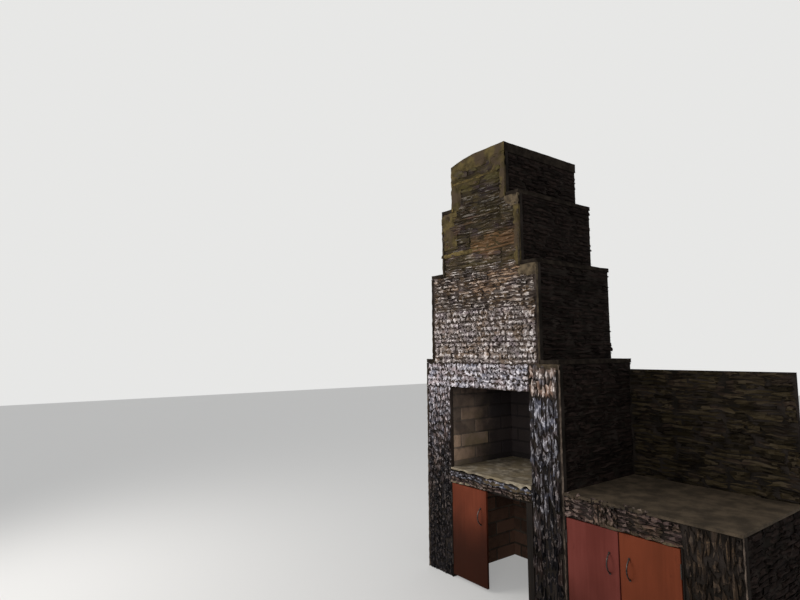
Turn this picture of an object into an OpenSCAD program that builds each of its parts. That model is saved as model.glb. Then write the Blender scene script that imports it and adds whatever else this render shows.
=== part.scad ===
// Built-in barbecue fireplace with a stepped chimney breast and a side counter.
// Local frame: x = 0 on the centre line of the fire opening, y = 0 in the plane of
// the stone face, +y towards the wall behind, z = 0 on the floor.

/* [Fire opening] */
// Clear width of the fire opening between the two piers
opening_w = 760; // [700:10:880]
// Clear height of the fire opening above the hearth
opening_h = 600; // [480:10:720]
// Height of the breast between the fire opening and the base shoulders
breast_h = 210; // [150:10:300]

/* [Base] */
// Width of the left pier, with its side cladding
left_pier_w = 262; // [240:2:300]
// Width of the right pier, with its side cladding
right_pier_w = 245; // [225:5:300]
// Depth from the stone face to the back of the fireplace
depth = 830; // [700:10:950]
// Height of the underside of the hearth and counter slabs above the floor
slab_z = 682; // [602:10:802]
// Thickness of the hearth and counter slabs
slab_t = 100; // [70:5:130]
// How far each slab bears on the wall that they share
slab_bearing = 110; // [80:5:130]

/* [Masonry] */
// Thickness of the brick wall at the back of the fire
back_wall_t = 140; // [110:5:200]
// Thickness of the brick walls of the stack
stack_wall_t = 140; // [90:5:150]
// Height of one brick course with its joint
course_h = 100; // [75:5:110]
// Number of corbelled courses under each narrower stage of the stack
corbel_courses = 4; // [3:1:4]
// Bearing of the lintel on each side wall
lintel_bearing = 150; // [100:5:180]

/* [Cladding] */
// Thickness of the stone cladding on the front, with its mortar
front_clad_t = 40; // [25:1:50]
// Thickness of the stone cladding on the sides, with its mortar
side_clad_t = 30; // [20:1:40]
// Thickness of the mortar that caps the shoulders and the chimney top
cap_t = 30; // [15:1:50]
// Height of the rounded nose of the hearth's plaster
nose_h = 26; // [16:1:34]
// Height of a course of cladding panels, with its joint
panel_h = 150; // [120:5:180]
// Length of a cladding panel, with its joint
panel_l = 610; // [560:10:640]
// Height of the cut panels at the top of the right pier
top_panel_h = 210; // [150:5:260]
// Width of an open joint between two panels
panel_joint = 6; // [3:1:12]
// Depth of an open joint between two panels
joint_depth = 10; // [5:1:15]

/* [Stack] */
// Outside width of the lower stage of the stack
lower_w = 1050; // [980:10:1100]
// Outside width of the middle stage of the stack
middle_w = 780; // [720:10:840]
// Outside width of the upper stage of the stack
upper_w = 550; // [500:10:600]
// Height of the lower stage, shoulder to shoulder
lower_h = 660; // [520:10:800]
// Height of the middle stage, shoulder to shoulder
middle_h = 495; // [440:5:650]
// Height of the upper stage up to the finished top
upper_h = 370; // [200:10:600]
// Height of the mortar crown on the top of the stack
crown_h = 70; // [50:5:100]
// How far the crown falls away at its left end
crown_drop = 42; // [20:1:45]
// Radius of the crown's rounded left end
crown_r = 1100; // [900:10:1300]
// How far the middle of the stack lies to the right of the fire opening's middle
stack_offset = -45; // [-50:5:50]

/* [Counter] */
// Width of the pier at the right end of the counter, with its end cladding
counter_pier_w = 286; // [200:2:400]
// Thickness of the brick wall that carries the back of the counter slab
counter_rear_t = 110; // [75:5:150]
// Thickness of the finishing screed on the counter slab
screed_t = 16; // [5:1:20]
// Thickness of the plaster on the hearth
plaster_t = 8; // [5:1:20]
// Height of the top of the splashback above the floor
splashback_top = 1515; // [1200:5:1560]
// Thickness of the splashback
splashback_t = 40; // [25:1:60]

/* [Cupboards] */
// Thickness of a cupboard door
door_t = 16; // [12:1:22]
// Width of the timber post at the right of the hearth cupboard
hearth_post_w = 49; // [20:1:90]
// Width of each counter cupboard door
counter_door_w = 331; // [260:1:400]
// Height of the hearth door's top edge above the floor
hearth_door_top = 674; // [554:5:674]
// Height of the counter doors' top edges above the floor
counter_door_top = 653; // [540:1:670]
// Height of the doors' bottom edges above the floor
door_bottom = 24; // [10:1:60]
// How far the doors stand back from the stone face
door_recess = 6; // [2:1:15]
// Clear gap round a door
door_gap = 5.5; // [5:0.5:8]
// Clear gap between the two counter doors
middle_gap = 8; // [7:0.5:12]
// Thickness of the timber linings of the cupboard openings
lining_t = 8; // [7:1:20]
// Depth of the timber linings
lining_d = 70; // [50:5:110]
// How far a lining's head reaches down behind the doors
head_lap = 14; // [8:1:30]

/* [Handles and hinges] */
// Distance between the feet of a bow handle
handle_span = 110; // [90:2:140]
// How far a bow handle stands out from its door
handle_reach = 35; // [28:1:45]
// Diameter of a bow handle's rod
handle_d = 8; // [6:0.5:11]
// Distance from a handle to the free edge of its door
handle_inset = 55; // [35:1:90]
// Distance from a door's top edge to the middle of its handle
handle_drop = 180; // [120:5:260]
// Height of a hinge
hinge_h = 72; // [50:2:100]
// Radius of a hinge knuckle
knuckle_r = 3.5; // [3:0.1:4]
// Radius of a hinge pin
pin_r = 2; // [1.5:0.1:2.4]
// Thickness of a hinge leaf
leaf_t = 1.5; // [1:0.1:2]
// Depth of a hinge leaf
leaf_d = 24; // [16:1:40]
// Distance from a door's top or bottom edge to the nearer end of a hinge
hinge_inset = 70; // [40:5:120]

/* [Hidden] */

// How far a cut runs past the faces that it opens
over = 1;
// Running clearance of a hinge pin in its knuckle
pin_clearance = 0.05;
// Gap between neighbouring knuckles of a hinge
knuckle_gap = 1;
// Clearance between a hinge leaf and the knuckles that it passes
leaf_clearance = 0.6;
// Height or width under which no strip of a panel is cut
least_strip = 40;
// How far the circle of the crown's rounded end would rise above the flat top
crown_rise = 2;

// Levels above the floor
slab_top = slab_z + slab_t;
opening_top = slab_top + opening_h;
base_top = opening_top + breast_h;
lower_top = base_top + lower_h;
middle_top = lower_top + middle_h;
upper_top = middle_top + upper_h;
crown_z = upper_top - crown_h;
counter_top = slab_top + screed_t;
hearth_top = slab_top + plaster_t;

// Places across the front
opening_x = opening_w / 2;
left_x = -opening_x - left_pier_w;
right_x = opening_x + right_pier_w;
left_brick_x = left_x + side_clad_t;
right_brick_x = right_x - side_clad_t;
slab_joint_x = opening_x + slab_bearing;
counter_opening_w = 2 * (lining_t + door_gap + counter_door_w) + middle_gap;
counter_pier_x = right_x + counter_opening_w;
end_x = counter_pier_x + counter_pier_w;
end_brick_x = end_x - side_clad_t;

// Places from front to back
front_brick_y = front_clad_t;
fire_back_y = depth - back_wall_t;
stack_front_y = front_brick_y + stack_wall_t;
counter_rear_y = depth - counter_rear_t;
splashback_y = depth - splashback_t;
lining_y = door_recess;

// Door edges in the local frame
hearth_hinge_x = -opening_x + lining_t;
hearth_door_x = hearth_hinge_x + door_gap;
hearth_door_w = (opening_w - lining_t - hearth_post_w - 2 * door_gap - middle_gap) / 2;
counter_left_hinge_x = right_x + lining_t;
counter_left_door_x = counter_left_hinge_x + door_gap;
counter_right_hinge_x = counter_pier_x - lining_t;
counter_right_door_x = counter_right_hinge_x - door_gap - counter_door_w;

// Hinge axis, in front of the door face and in the middle of the gap
axis_y = door_recess - knuckle_r;

// The origin is the middle of the footprint on the floor
front_y = door_recess - handle_reach;
origin = [(left_x + end_x) / 2, (front_y + depth) / 2, 0];

brick_colour = [0.55, 0.42, 0.33];
soot_colour = [0.24, 0.20, 0.18];
mortar_colour = [0.62, 0.57, 0.50];
concrete_colour = [0.56, 0.50, 0.42];
stone_colour = [0.24, 0.19, 0.17];
screed_colour = [0.38, 0.29, 0.22];
timber_colour = [0.50, 0.36, 0.23];
door_colour = [0.55, 0.22, 0.13];
metal_colour = [0.20, 0.18, 0.17];

// Moves the local frame to the part's own frame
module placed(colour) {
    color(colour) translate(-origin) children();
}

// A block between two corners
module block(low, high) {
    translate(low) cube(high - low);
}

// Levels of the joints between courses of panels, laid upwards from z0
function course_levels(z0, z1) = [for (z = z0 + panel_h; z < z1 - least_strip; z = z + panel_h) z];

// Level joints in a face that looks to the front
module front_courses(x0, x1, y, levels) {
    for (z = levels)
        block([x0 - over, y - over, z - panel_joint / 2], [x1 + over, y + joint_depth, z + panel_joint / 2]);
}

// An upright joint in a face that looks to the front
module front_split(x, z0, z1, y = 0) {
    block([x - panel_joint / 2, y - over, z0 - over], [x + panel_joint / 2, y + joint_depth, z1 + over]);
}

// Joints of panels that are laid in running bond on a face that looks to the front
module bond_joints(x0, x1, z0, z1, y = 0) {
    levels = course_levels(z0, z1);
    beds = concat([z0], levels, [z1]);
    front_courses(x0, x1, y, levels);
    for (k = [0 : len(levels)])
        for (x = [x0 + panel_l / (1 + k % 2) : panel_l : x1 - least_strip])
            front_split(x, beds[k], beds[k + 1], y);
}

// Level joints in a face that looks to the side; side is 1 on the right and -1 on the left
module side_courses(x, side, y0, y1, levels) {
    inner = x - side * joint_depth;
    outer = x + side * over;
    for (z = levels)
        block([min(inner, outer), y0 - over, z - panel_joint / 2],
              [max(inner, outer), y1 + over, z + panel_joint / 2]);
}

// Joints of panels that stand upright on a pier, beside one seam and with a cut one at the top
module pier_joints(x0, x1, seam_x, first_z, z1) {
    front_split(seam_x, 0, z1);
    front_courses(x0, x1, 0, [for (z = first_z; z > least_strip; z = z - panel_l) z]);
}

// Half the clear width of the flue in a stage of the stack
function flue_half(stage_w) = stage_w / 2 - side_clad_t - stack_wall_t;

// One stage of the stack: brick walls round the flue, corbelled in under the next stage
module stack_stage(stage_w, z0, z1, next_w) {
    half = stage_w / 2 - side_clad_t;
    flue = flue_half(stage_w);
    next = flue_half(next_w);
    steps = next_w < stage_w ? corbel_courses : 0;
    difference() {
        block([stack_offset - half, front_brick_y, z0], [stack_offset + half, depth, z1]);
        block([stack_offset - flue, stack_front_y, z0 - over], [stack_offset + flue, fire_back_y, z1 - steps * course_h]);
        if (steps > 0)
            for (k = [1 : steps]) {
                reach = flue - (flue - next) * k / steps;
                low = z1 - (steps - k + 1) * course_h;
                block([stack_offset - reach, stack_front_y, low - over], [stack_offset + reach, fire_back_y, low + course_h + over]);
            }
        else
            block([stack_offset - flue, stack_front_y, z1 - over], [stack_offset + flue, fire_back_y, z1 + over]);
    }
}

// The stone cladding on the front and both sides of one stage of the stack
module stage_cladding(stage_w, z0, z1) {
    outer = stage_w / 2;
    inner = outer - side_clad_t;
    levels = course_levels(z0, z1);
    difference() {
        block([stack_offset - outer, 0, z0], [stack_offset + outer, depth, z1]);
        block([stack_offset - inner, front_brick_y, z0 - over], [stack_offset + inner, depth + over, z1 + over]);
        bond_joints(stack_offset - outer, stack_offset + outer, z0, z1);
        for (side = [-1, 1]) side_courses(stack_offset + side * outer, side, 0, depth, levels);
    }
}

// A pair of mortar caps on the shoulders between two widths
module shoulder_pair(left_outer, right_outer, next_w, top) {
    block([left_outer, 0, top - cap_t], [stack_offset - next_w / 2, depth, top]);
    block([stack_offset + next_w / 2, 0, top - cap_t], [right_outer, depth, top]);
}

module left_base_wall() {
    placed(brick_colour)
        block([left_brick_x, front_brick_y, 0], [-opening_x, fire_back_y, slab_z]);
}

module right_base_wall() {
    placed(brick_colour)
        block([opening_x, front_brick_y, 0], [right_x, fire_back_y, slab_z]);
}

module rear_base_wall() {
    placed(brick_colour)
        block([left_brick_x, fire_back_y, 0], [right_x, depth, slab_z]);
}

module hearth_slab() {
    placed(concrete_colour)
        block([left_brick_x, front_brick_y, slab_z], [slab_joint_x, depth, slab_top]);
}

// Plaster bed on the hearth, with a rounded nose that hangs over the stone edge
module hearth_plaster() {
    r = nose_h / 2;
    placed(mortar_colour)
        translate([-opening_x, 0, 0]) rotate([90, 0, 90]) linear_extrude(opening_w) union() {
            translate([r, hearth_top - r]) circle(r, $fn = 48);
            translate([r, hearth_top - nose_h]) square([front_clad_t - r, nose_h]);
            translate([r, slab_top]) square([fire_back_y - r, plaster_t]);
        }
}

// A side wall of the firebox, with the seat of the lintel cut in its front top corner
module firebox_wall(x0, x1, seat_x) {
    difference() {
        block([x0, front_brick_y, slab_top], [x1, fire_back_y, base_top - cap_t]);
        block([seat_x, front_brick_y - over, opening_top], [seat_x + lintel_bearing, stack_front_y, base_top]);
    }
}

module left_firebox_wall() {
    placed(soot_colour) firebox_wall(left_brick_x, -opening_x, -opening_x - lintel_bearing);
}

module right_firebox_wall() {
    placed(soot_colour) firebox_wall(opening_x, right_brick_x, opening_x);
}

module fire_back() {
    placed(soot_colour)
        block([left_brick_x, fire_back_y, slab_top], [right_brick_x, depth, base_top - cap_t]);
}

module lintel() {
    placed(concrete_colour)
        block([-opening_x - lintel_bearing, front_brick_y, opening_top],
              [opening_x + lintel_bearing, stack_front_y, base_top - cap_t]);
}

module lower_stack() {
    placed(brick_colour) stack_stage(lower_w, base_top - cap_t, lower_top - cap_t, middle_w);
}

module middle_stack() {
    placed(brick_colour) stack_stage(middle_w, lower_top - cap_t, middle_top - cap_t, upper_w);
}

module upper_stack() {
    placed(brick_colour) stack_stage(upper_w, middle_top - cap_t, crown_z, upper_w);
}

module shoulder_mortar() {
    placed(mortar_colour) {
        shoulder_pair(left_x, right_x, lower_w, base_top);
        shoulder_pair(stack_offset - lower_w / 2, stack_offset + lower_w / 2, middle_w, lower_top);
        shoulder_pair(stack_offset - middle_w / 2, stack_offset + middle_w / 2, upper_w, middle_top);
    }
}

// Mortar crown on the top of the stack, round the flue, with its left end rounded off
module chimney_top_mortar() {
    flue = flue_half(upper_w);
    left = stack_offset - upper_w / 2;
    fall = crown_rise + crown_drop;
    arc_w = sqrt(2 * crown_r * fall - fall * fall);
    placed(mortar_colour) difference() {
        block([left, 0, crown_z], [left + upper_w, depth, upper_top]);
        block([stack_offset - flue, stack_front_y, crown_z - over], [stack_offset + flue, fire_back_y, upper_top + over]);
        difference() {
            block([left - over, -over, crown_z], [left + arc_w, depth + over, upper_top + over]);
            translate([left + arc_w, depth + 2 * over, upper_top + crown_rise - crown_r])
                rotate([90, 0, 0]) cylinder(h = depth + 4 * over, r = crown_r, $fn = 180);
        }
    }
}

module left_pier_cladding() {
    placed(stone_colour) difference() {
        block([left_x, 0, 0], [-opening_x, front_clad_t, opening_top]);
        pier_joints(left_x, -opening_x, left_x + panel_h, opening_top - panel_l, opening_top);
    }
}

module right_pier_cladding() {
    top = base_top - cap_t;
    placed(stone_colour) difference() {
        block([opening_x, 0, 0], [right_x, front_clad_t, top]);
        pier_joints(opening_x, right_x, right_x - panel_h, top - top_panel_h, top);
    }
}

module breast_cladding() {
    top = base_top - cap_t;
    placed(stone_colour) difference() {
        block([left_x, 0, opening_top], [opening_x, front_clad_t, top]);
        bond_joints(left_x, opening_x, opening_top, top);
    }
}

module hearth_edge_cladding() {
    placed(stone_colour)
        block([-opening_x, 0, hearth_door_top + door_gap], [opening_x, front_clad_t, hearth_top - nose_h]);
}

module lower_stack_cladding() {
    placed(stone_colour) stage_cladding(lower_w, base_top - cap_t, lower_top - cap_t);
}

module middle_stack_cladding() {
    placed(stone_colour) stage_cladding(middle_w, lower_top - cap_t, middle_top - cap_t);
}

module upper_stack_cladding() {
    placed(stone_colour) stage_cladding(upper_w, middle_top - cap_t, crown_z);
}

module left_side_cladding() {
    top = base_top - cap_t;
    placed(stone_colour) difference() {
        block([left_x, front_brick_y, 0], [left_brick_x, depth, top]);
        side_courses(left_x, -1, front_brick_y, depth, course_levels(0, top));
    }
}

// The right side is clad only above the counter
module right_side_cladding() {
    top = base_top - cap_t;
    placed(stone_colour) difference() {
        block([right_brick_x, front_brick_y, slab_top], [right_x, depth, top]);
        side_courses(right_x, 1, front_brick_y, splashback_y, course_levels(counter_top, top));
    }
}

module counter_pier() {
    placed(brick_colour) block([counter_pier_x, front_brick_y, 0], [end_brick_x, depth, slab_z]);
}

module counter_rear_wall() {
    placed(brick_colour) block([right_x, counter_rear_y, 0], [counter_pier_x, depth, slab_z]);
}

module counter_slab() {
    placed(concrete_colour) block([slab_joint_x, front_brick_y, slab_z], [end_brick_x, depth, slab_top]);
}

module counter_screed() {
    placed(screed_colour) block([right_x, 0, slab_top], [end_x, splashback_y, counter_top]);
}

// The band over the counter doors, with a joint above the gap between the doors
module counter_band_cladding() {
    low = counter_door_top + door_gap;
    placed(stone_colour) difference() {
        block([right_x, 0, low], [counter_pier_x, front_clad_t, slab_top]);
        front_split(right_x + counter_opening_w / 2, low, slab_top);
    }
}

module counter_pier_cladding() {
    placed(stone_colour) difference() {
        block([counter_pier_x, 0, 0], [end_x, front_clad_t, slab_top]);
        pier_joints(counter_pier_x, end_x, end_x - panel_h, slab_top - panel_l, slab_top);
    }
}

module counter_end_cladding() {
    placed(stone_colour) difference() {
        block([end_brick_x, front_brick_y, 0], [end_x, depth, slab_top]);
        side_courses(end_x, 1, front_brick_y, depth, course_levels(0, slab_top));
    }
}

module splashback() {
    placed(stone_colour) difference() {
        block([right_x, splashback_y, slab_top], [end_x, depth, splashback_top]);
        bond_joints(right_x, end_x, counter_top, splashback_top, splashback_y);
    }
}

// Timber lining of a cupboard opening: two jambs, and a head behind the tops of the doors
module cupboard_frame(x0, x1, left_w, right_w, door_top) {
    jamb_top = door_top + door_gap;
    block([x0, lining_y, 0], [x0 + left_w, lining_y + lining_d, jamb_top]);
    block([x1 - right_w, lining_y, 0], [x1, lining_y + lining_d, jamb_top]);
    block([x0, front_clad_t, door_top - head_lap], [x1, lining_y + lining_d, slab_z]);
}

module hearth_cupboard_frame() {
    placed(timber_colour)
        cupboard_frame(-opening_x, opening_x, lining_t, hearth_post_w, hearth_door_top);
}

module counter_cupboard_frame() {
    placed(timber_colour)
        cupboard_frame(right_x, counter_pier_x, lining_t, lining_t, counter_door_top);
}

// A plain laminated door leaf
module door_leaf(x0, width, top) {
    block([x0, door_recess, door_bottom], [x0 + width, door_recess + door_t, top]);
}

// A bow handle on a door: one arc of round rod with a foot at each end
module bow_handle(x, z) {
    reach = handle_reach - handle_d / 2;
    half = handle_span / 2;
    bow_r = (half * half + reach * reach) / (2 * reach);
    sweep = asin(half / bow_r);
    foot_h = 3;
    run_out = 8;
    translate([x, door_recess, z]) {
        difference() {
            translate([0, bow_r - reach, 0]) rotate([0, -90, 0]) rotate([0, 0, 270 - sweep - run_out])
                rotate_extrude(angle = 2 * (sweep + run_out), $fn = 96) translate([bow_r, 0]) circle(handle_d / 2, $fn = 24);
            translate([-handle_d, 0, -handle_span]) cube([2 * handle_d, handle_span, 2 * handle_span]);
        }
        for (end = [-1, 1])
            translate([0, 0, end * half]) rotate([90, 0, 0]) cylinder(h = foot_h, r = handle_d * 0.8, $fn = 32);
    }
}

// Heights of the lower ends of a door's two hinges
function hinge_levels(top) = [door_bottom + hinge_inset, top - hinge_inset - hinge_h];

// Height of one of the three knuckles of a hinge
function knuckle_h() = (hinge_h - 2 * knuckle_gap) / 3;

// The half of a hinge that stays: leaf on the lining, two knuckles and the pin.
// side is 1 where the door lies to the right of the hinge, and -1 to its left.
module hinge_pin_half(x_lining, side, z) {
    axis_x = x_lining + side * door_gap / 2;
    inner = x_lining + side * leaf_t;
    block([min(x_lining, inner), door_recess + leaf_clearance, z],
          [max(x_lining, inner), door_recess + leaf_d, z + hinge_h]);
    for (low = [z, z + hinge_h - knuckle_h()]) {
        translate([axis_x, axis_y, low]) cylinder(h = knuckle_h(), r = knuckle_r, $fn = 40);
        block([min(x_lining, inner), axis_y, low],
              [max(x_lining, inner), door_recess + leaf_d, low + knuckle_h()]);
    }
    translate([axis_x, axis_y, z]) cylinder(h = hinge_h, r = pin_r, $fn = 40);
}

// The half of a hinge that turns: leaf on the door's edge and the middle knuckle
module hinge_leaf_half(x_lining, side, z) {
    axis_x = x_lining + side * door_gap / 2;
    edge = x_lining + side * door_gap;
    inner = edge - side * leaf_t;
    mid = z + knuckle_h() + knuckle_gap;
    difference() {
        union() {
            block([min(edge, inner), door_recess + leaf_clearance, z],
                  [max(edge, inner), door_recess + leaf_d, z + hinge_h]);
            block([min(edge, inner), axis_y, mid], [max(edge, inner), door_recess + leaf_d, mid + knuckle_h()]);
            translate([axis_x, axis_y, mid]) cylinder(h = knuckle_h(), r = knuckle_r, $fn = 40);
        }
        translate([axis_x, axis_y, mid - over]) cylinder(h = knuckle_h() + 2 * over, r = pin_r + pin_clearance, $fn = 40);
    }
}

module hinge_pins(x_lining, side, top) {
    for (z = hinge_levels(top)) hinge_pin_half(x_lining, side, z);
}

module hinge_leaves(x_lining, side, top) {
    for (z = hinge_levels(top)) hinge_leaf_half(x_lining, side, z);
}

module hearth_hinge_pins() {
    placed(metal_colour) hinge_pins(hearth_hinge_x, 1, hearth_door_top);
}

module counter_left_hinge_pins() {
    placed(metal_colour) hinge_pins(counter_left_hinge_x, 1, counter_door_top);
}

module counter_right_hinge_pins() {
    placed(metal_colour) hinge_pins(counter_right_hinge_x, -1, counter_door_top);
}

module hearth_door() {
    placed(door_colour) door_leaf(hearth_door_x, hearth_door_w, hearth_door_top);
}

module hearth_door_handle() {
    placed(metal_colour) bow_handle(hearth_door_x + hearth_door_w - handle_inset, hearth_door_top - handle_drop);
}

module hearth_door_hinges() {
    placed(metal_colour) hinge_leaves(hearth_hinge_x, 1, hearth_door_top);
}

module counter_left_door() {
    placed(door_colour) door_leaf(counter_left_door_x, counter_door_w, counter_door_top);
}

module counter_left_handle() {
    placed(metal_colour)
        bow_handle(counter_left_door_x + counter_door_w - handle_inset, counter_door_top - handle_drop);
}

module counter_left_hinges() {
    placed(metal_colour) hinge_leaves(counter_left_hinge_x, 1, counter_door_top);
}

module counter_right_door() {
    placed(door_colour) door_leaf(counter_right_door_x, counter_door_w, counter_door_top);
}

module counter_right_handle() {
    placed(metal_colour) bow_handle(counter_right_door_x + handle_inset, counter_door_top - handle_drop);
}

module counter_right_hinges() {
    placed(metal_colour) hinge_leaves(counter_right_hinge_x, -1, counter_door_top);
}

left_base_wall();
right_base_wall();
rear_base_wall();
hearth_slab();
hearth_plaster();
left_firebox_wall();
right_firebox_wall();
fire_back();
lintel();
lower_stack();
middle_stack();
upper_stack();
shoulder_mortar();
chimney_top_mortar();
left_pier_cladding();
right_pier_cladding();
breast_cladding();
hearth_edge_cladding();
lower_stack_cladding();
middle_stack_cladding();
upper_stack_cladding();
left_side_cladding();
right_side_cladding();
counter_pier();
counter_rear_wall();
counter_slab();
counter_screed();
counter_band_cladding();
counter_pier_cladding();
counter_end_cladding();
splashback();
hearth_cupboard_frame();
counter_cupboard_frame();
hearth_hinge_pins();
counter_left_hinge_pins();
counter_right_hinge_pins();
hearth_door();
hearth_door_handle();
hearth_door_hinges();
counter_left_door();
counter_left_handle();
counter_left_hinges();
counter_right_door();
counter_right_handle();
counter_right_hinges();
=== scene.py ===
"""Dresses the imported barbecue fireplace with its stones, bricks, mortar, boards and metal.

All sizes are in metres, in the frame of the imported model. Each piece rides on one of the model's
bodies and stands for the node that it covers.
"""

import logging
import math
import random
from collections.abc import Callable, Iterator
from contextlib import contextmanager
from dataclasses import dataclass, field, replace
from enum import Enum
from functools import cache

import bpy
from mathutils import Matrix, Vector, noise


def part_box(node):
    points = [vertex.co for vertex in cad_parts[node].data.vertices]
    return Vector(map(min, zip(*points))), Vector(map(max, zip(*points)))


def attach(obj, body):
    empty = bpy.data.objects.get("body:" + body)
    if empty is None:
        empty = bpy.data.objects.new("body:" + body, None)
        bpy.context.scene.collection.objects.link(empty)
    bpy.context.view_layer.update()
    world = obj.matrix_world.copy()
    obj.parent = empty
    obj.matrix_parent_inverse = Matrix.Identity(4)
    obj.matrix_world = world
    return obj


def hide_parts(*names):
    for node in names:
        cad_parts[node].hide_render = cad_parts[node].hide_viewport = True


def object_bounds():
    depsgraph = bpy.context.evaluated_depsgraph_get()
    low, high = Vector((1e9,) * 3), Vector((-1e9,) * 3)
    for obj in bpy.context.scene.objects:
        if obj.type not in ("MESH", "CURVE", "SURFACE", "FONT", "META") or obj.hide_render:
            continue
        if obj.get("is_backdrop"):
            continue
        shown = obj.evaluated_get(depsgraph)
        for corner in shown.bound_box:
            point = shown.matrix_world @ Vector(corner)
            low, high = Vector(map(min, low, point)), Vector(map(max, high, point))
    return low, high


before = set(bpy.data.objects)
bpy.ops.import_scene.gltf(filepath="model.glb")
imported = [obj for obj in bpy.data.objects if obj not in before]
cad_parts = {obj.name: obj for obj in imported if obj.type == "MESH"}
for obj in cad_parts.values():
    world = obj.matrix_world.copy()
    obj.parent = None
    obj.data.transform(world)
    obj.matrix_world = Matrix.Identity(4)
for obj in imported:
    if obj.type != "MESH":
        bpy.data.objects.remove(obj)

LOG = logging.getLogger("fireplace")
MASONRY = "masonry"
FRONT_PLANE = -0.4005
FIRE_CENTRE = -0.483
PANEL_COURSE = 0.150
PANEL_LENGTH = 0.610
PANEL_TOP = 0.210
PANEL_LEAST = 0.040
PANEL_JOINT = 0.003
CLAD_FRONT = 0.040
CLAD_SIDE = 0.030
WIDE = 9.0

Colour = tuple[float, float, float]
Size = tuple[float, float, float]
Cell = tuple[float, float, float, float]
Tags = tuple[float, float, float]
Tint = tuple[float, float]
Mood = Callable[[Vector], Tint]


class Facing(Enum):
    """The way a surface looks: its run, its rise and its outward direction."""

    FRONT = ((1, 0, 0), (0, 0, 1), (0, -1, 0))
    RIGHT = ((0, 1, 0), (0, 0, 1), (1, 0, 0))
    LEFT = ((0, -1, 0), (0, 0, 1), (-1, 0, 0))

    @property
    def axes(self) -> tuple[Vector, Vector, Vector]:
        """The three directions as vectors."""
        run, rise, out = self.value
        return Vector(run), Vector(rise), Vector(out)


@dataclass(frozen=True)
class Span:
    """A range that sizes are drawn from."""

    low: float
    high: float

    def draw(self, dice: random.Random) -> float:
        """Draws one size from the range."""
        return dice.uniform(self.low, self.high)

    def fill(self, total: float, dice: random.Random) -> Iterator[tuple[float, float]]:
        """Cuts a length into drawn sizes that fill it.

        Args:
            total: the length to fill.
            dice: the source of the draws.

        Yields:
            The start and the size of each stretch.
        """
        sizes = [self.draw(dice)]
        while sum(sizes) < total:
            sizes.append(self.draw(dice))
        share = total / sum(sizes)
        start = 0.0
        for size in sizes:
            yield start, size * share
            start += size * share


@dataclass(frozen=True)
class Panel:
    """A flat surface on the outside of a node, with its lower start corner."""

    corner: Vector
    facing: Facing
    width: float
    height: float

    @classmethod
    def of(cls, node: str, facing: Facing) -> "Panel":
        """Finds the side of a node's box that looks a given way.

        Args:
            node: the name of the CAD node.
            facing: the side that is wanted.

        Returns:
            The panel that covers that side.
        """
        low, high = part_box(node)
        run, rise, out = facing.axes
        turned = run + rise
        corner = Vector(high[i] if turned[i] < 0 or out[i] > 0 else low[i] for i in range(3))
        size = high - low
        return cls(corner, facing, abs(size.dot(run)), abs(size.dot(rise)))

    def place(self, along: float, up: float, out: float) -> Vector:
        """The point at a place along the run, up the rise and out of the surface."""
        run, rise, normal = self.facing.axes
        return self.corner + run * along + rise * up + normal * out

    def matrix(self, along: float, up: float, out: float, size: Size) -> Matrix:
        """The matrix that puts a unit model on the panel at a place and a size."""
        axes = Matrix([axis * scale for axis, scale in zip(self.facing.axes, size)]).transposed()
        return Matrix.Translation(self.place(along, up, out)) @ axes.to_4x4()


class Signal:
    """A shader socket that Python's operators build Math nodes on."""

    def __init__(self, graph: "Graph", socket: bpy.types.NodeSocket) -> None:
        """Wraps a socket of a node tree that is being built."""
        self.graph = graph
        self.socket = socket

    def _math(self, operation: str, first: "Signal | float", second: "Signal | float") -> "Signal":
        """Adds a Math node on two values."""
        return self.graph.node("ShaderNodeMath", {"operation": operation}, {0: first, 1: second})

    def __add__(self, other: "Signal | float") -> "Signal":
        """Adds a value."""
        return self._math("ADD", self, other)

    __radd__ = __add__

    def __sub__(self, other: "Signal | float") -> "Signal":
        """Takes a value away."""
        return self._math("SUBTRACT", self, other)

    def __rsub__(self, other: "Signal | float") -> "Signal":
        """Takes this value away from another."""
        return self._math("SUBTRACT", other, self)

    def __mul__(self, other: "Signal | float") -> "Signal":
        """Multiplies by a value."""
        return self._math("MULTIPLY", self, other)

    __rmul__ = __mul__

    def most(self, other: "Signal | float") -> "Signal":
        """The larger of two values."""
        return self._math("MAXIMUM", self, other)

    def between(self, low: float, high: float) -> "Signal":
        """A smooth step that is 0 below one value and 1 above another."""
        return self.graph.node("ShaderNodeMapRange", {"interpolation_type": "SMOOTHSTEP"},
                               {"Value": self, "From Min": low, "From Max": high})


class Graph:
    """A node tree under construction."""

    def __init__(self, tree: bpy.types.NodeTree) -> None:
        """Starts on a tree of nodes."""
        self.tree = tree

    def node(self, kind: str, settings: dict | None = None, values: dict | None = None,
             outlet: int | str = 0) -> Signal:
        """Adds one node.

        Args:
            kind: the node's type.
            settings: its own settings, which are set first.
            values: the values or links of its sockets, by name or number.
            outlet: the output that is wanted.

        Returns:
            The wanted output as a signal.
        """
        item = self.tree.nodes.new(kind)
        for key, value in (settings or {}).items():
            setattr(item, key, value)
        for key, value in (values or {}).items():
            self.feed(item.inputs[key], value)
        return Signal(self, item.outputs[outlet])

    def feed(self, socket: bpy.types.NodeSocket, value: "Signal | float | tuple[float, ...]") -> None:
        """Links a signal to a socket, or sets its value.

        Args:
            socket: the socket to feed.
            value: a signal, a number, a vector or a colour.
        """
        if isinstance(value, Signal):
            self.tree.links.new(value.socket, socket)
        elif socket.type == "RGBA":
            socket.default_value = (*value, 1.0)
        else:
            socket.default_value = value

    def show(self, share: Signal, shaders: tuple[Signal, Signal], output: bpy.types.Node) -> None:
        """Sends a mix of two shaders to the tree's output."""
        mixed = self.node("ShaderNodeMixShader", {}, {0: share, 1: shaders[0], 2: shaders[1]})
        self.feed(output.inputs["Surface"], mixed)


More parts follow.
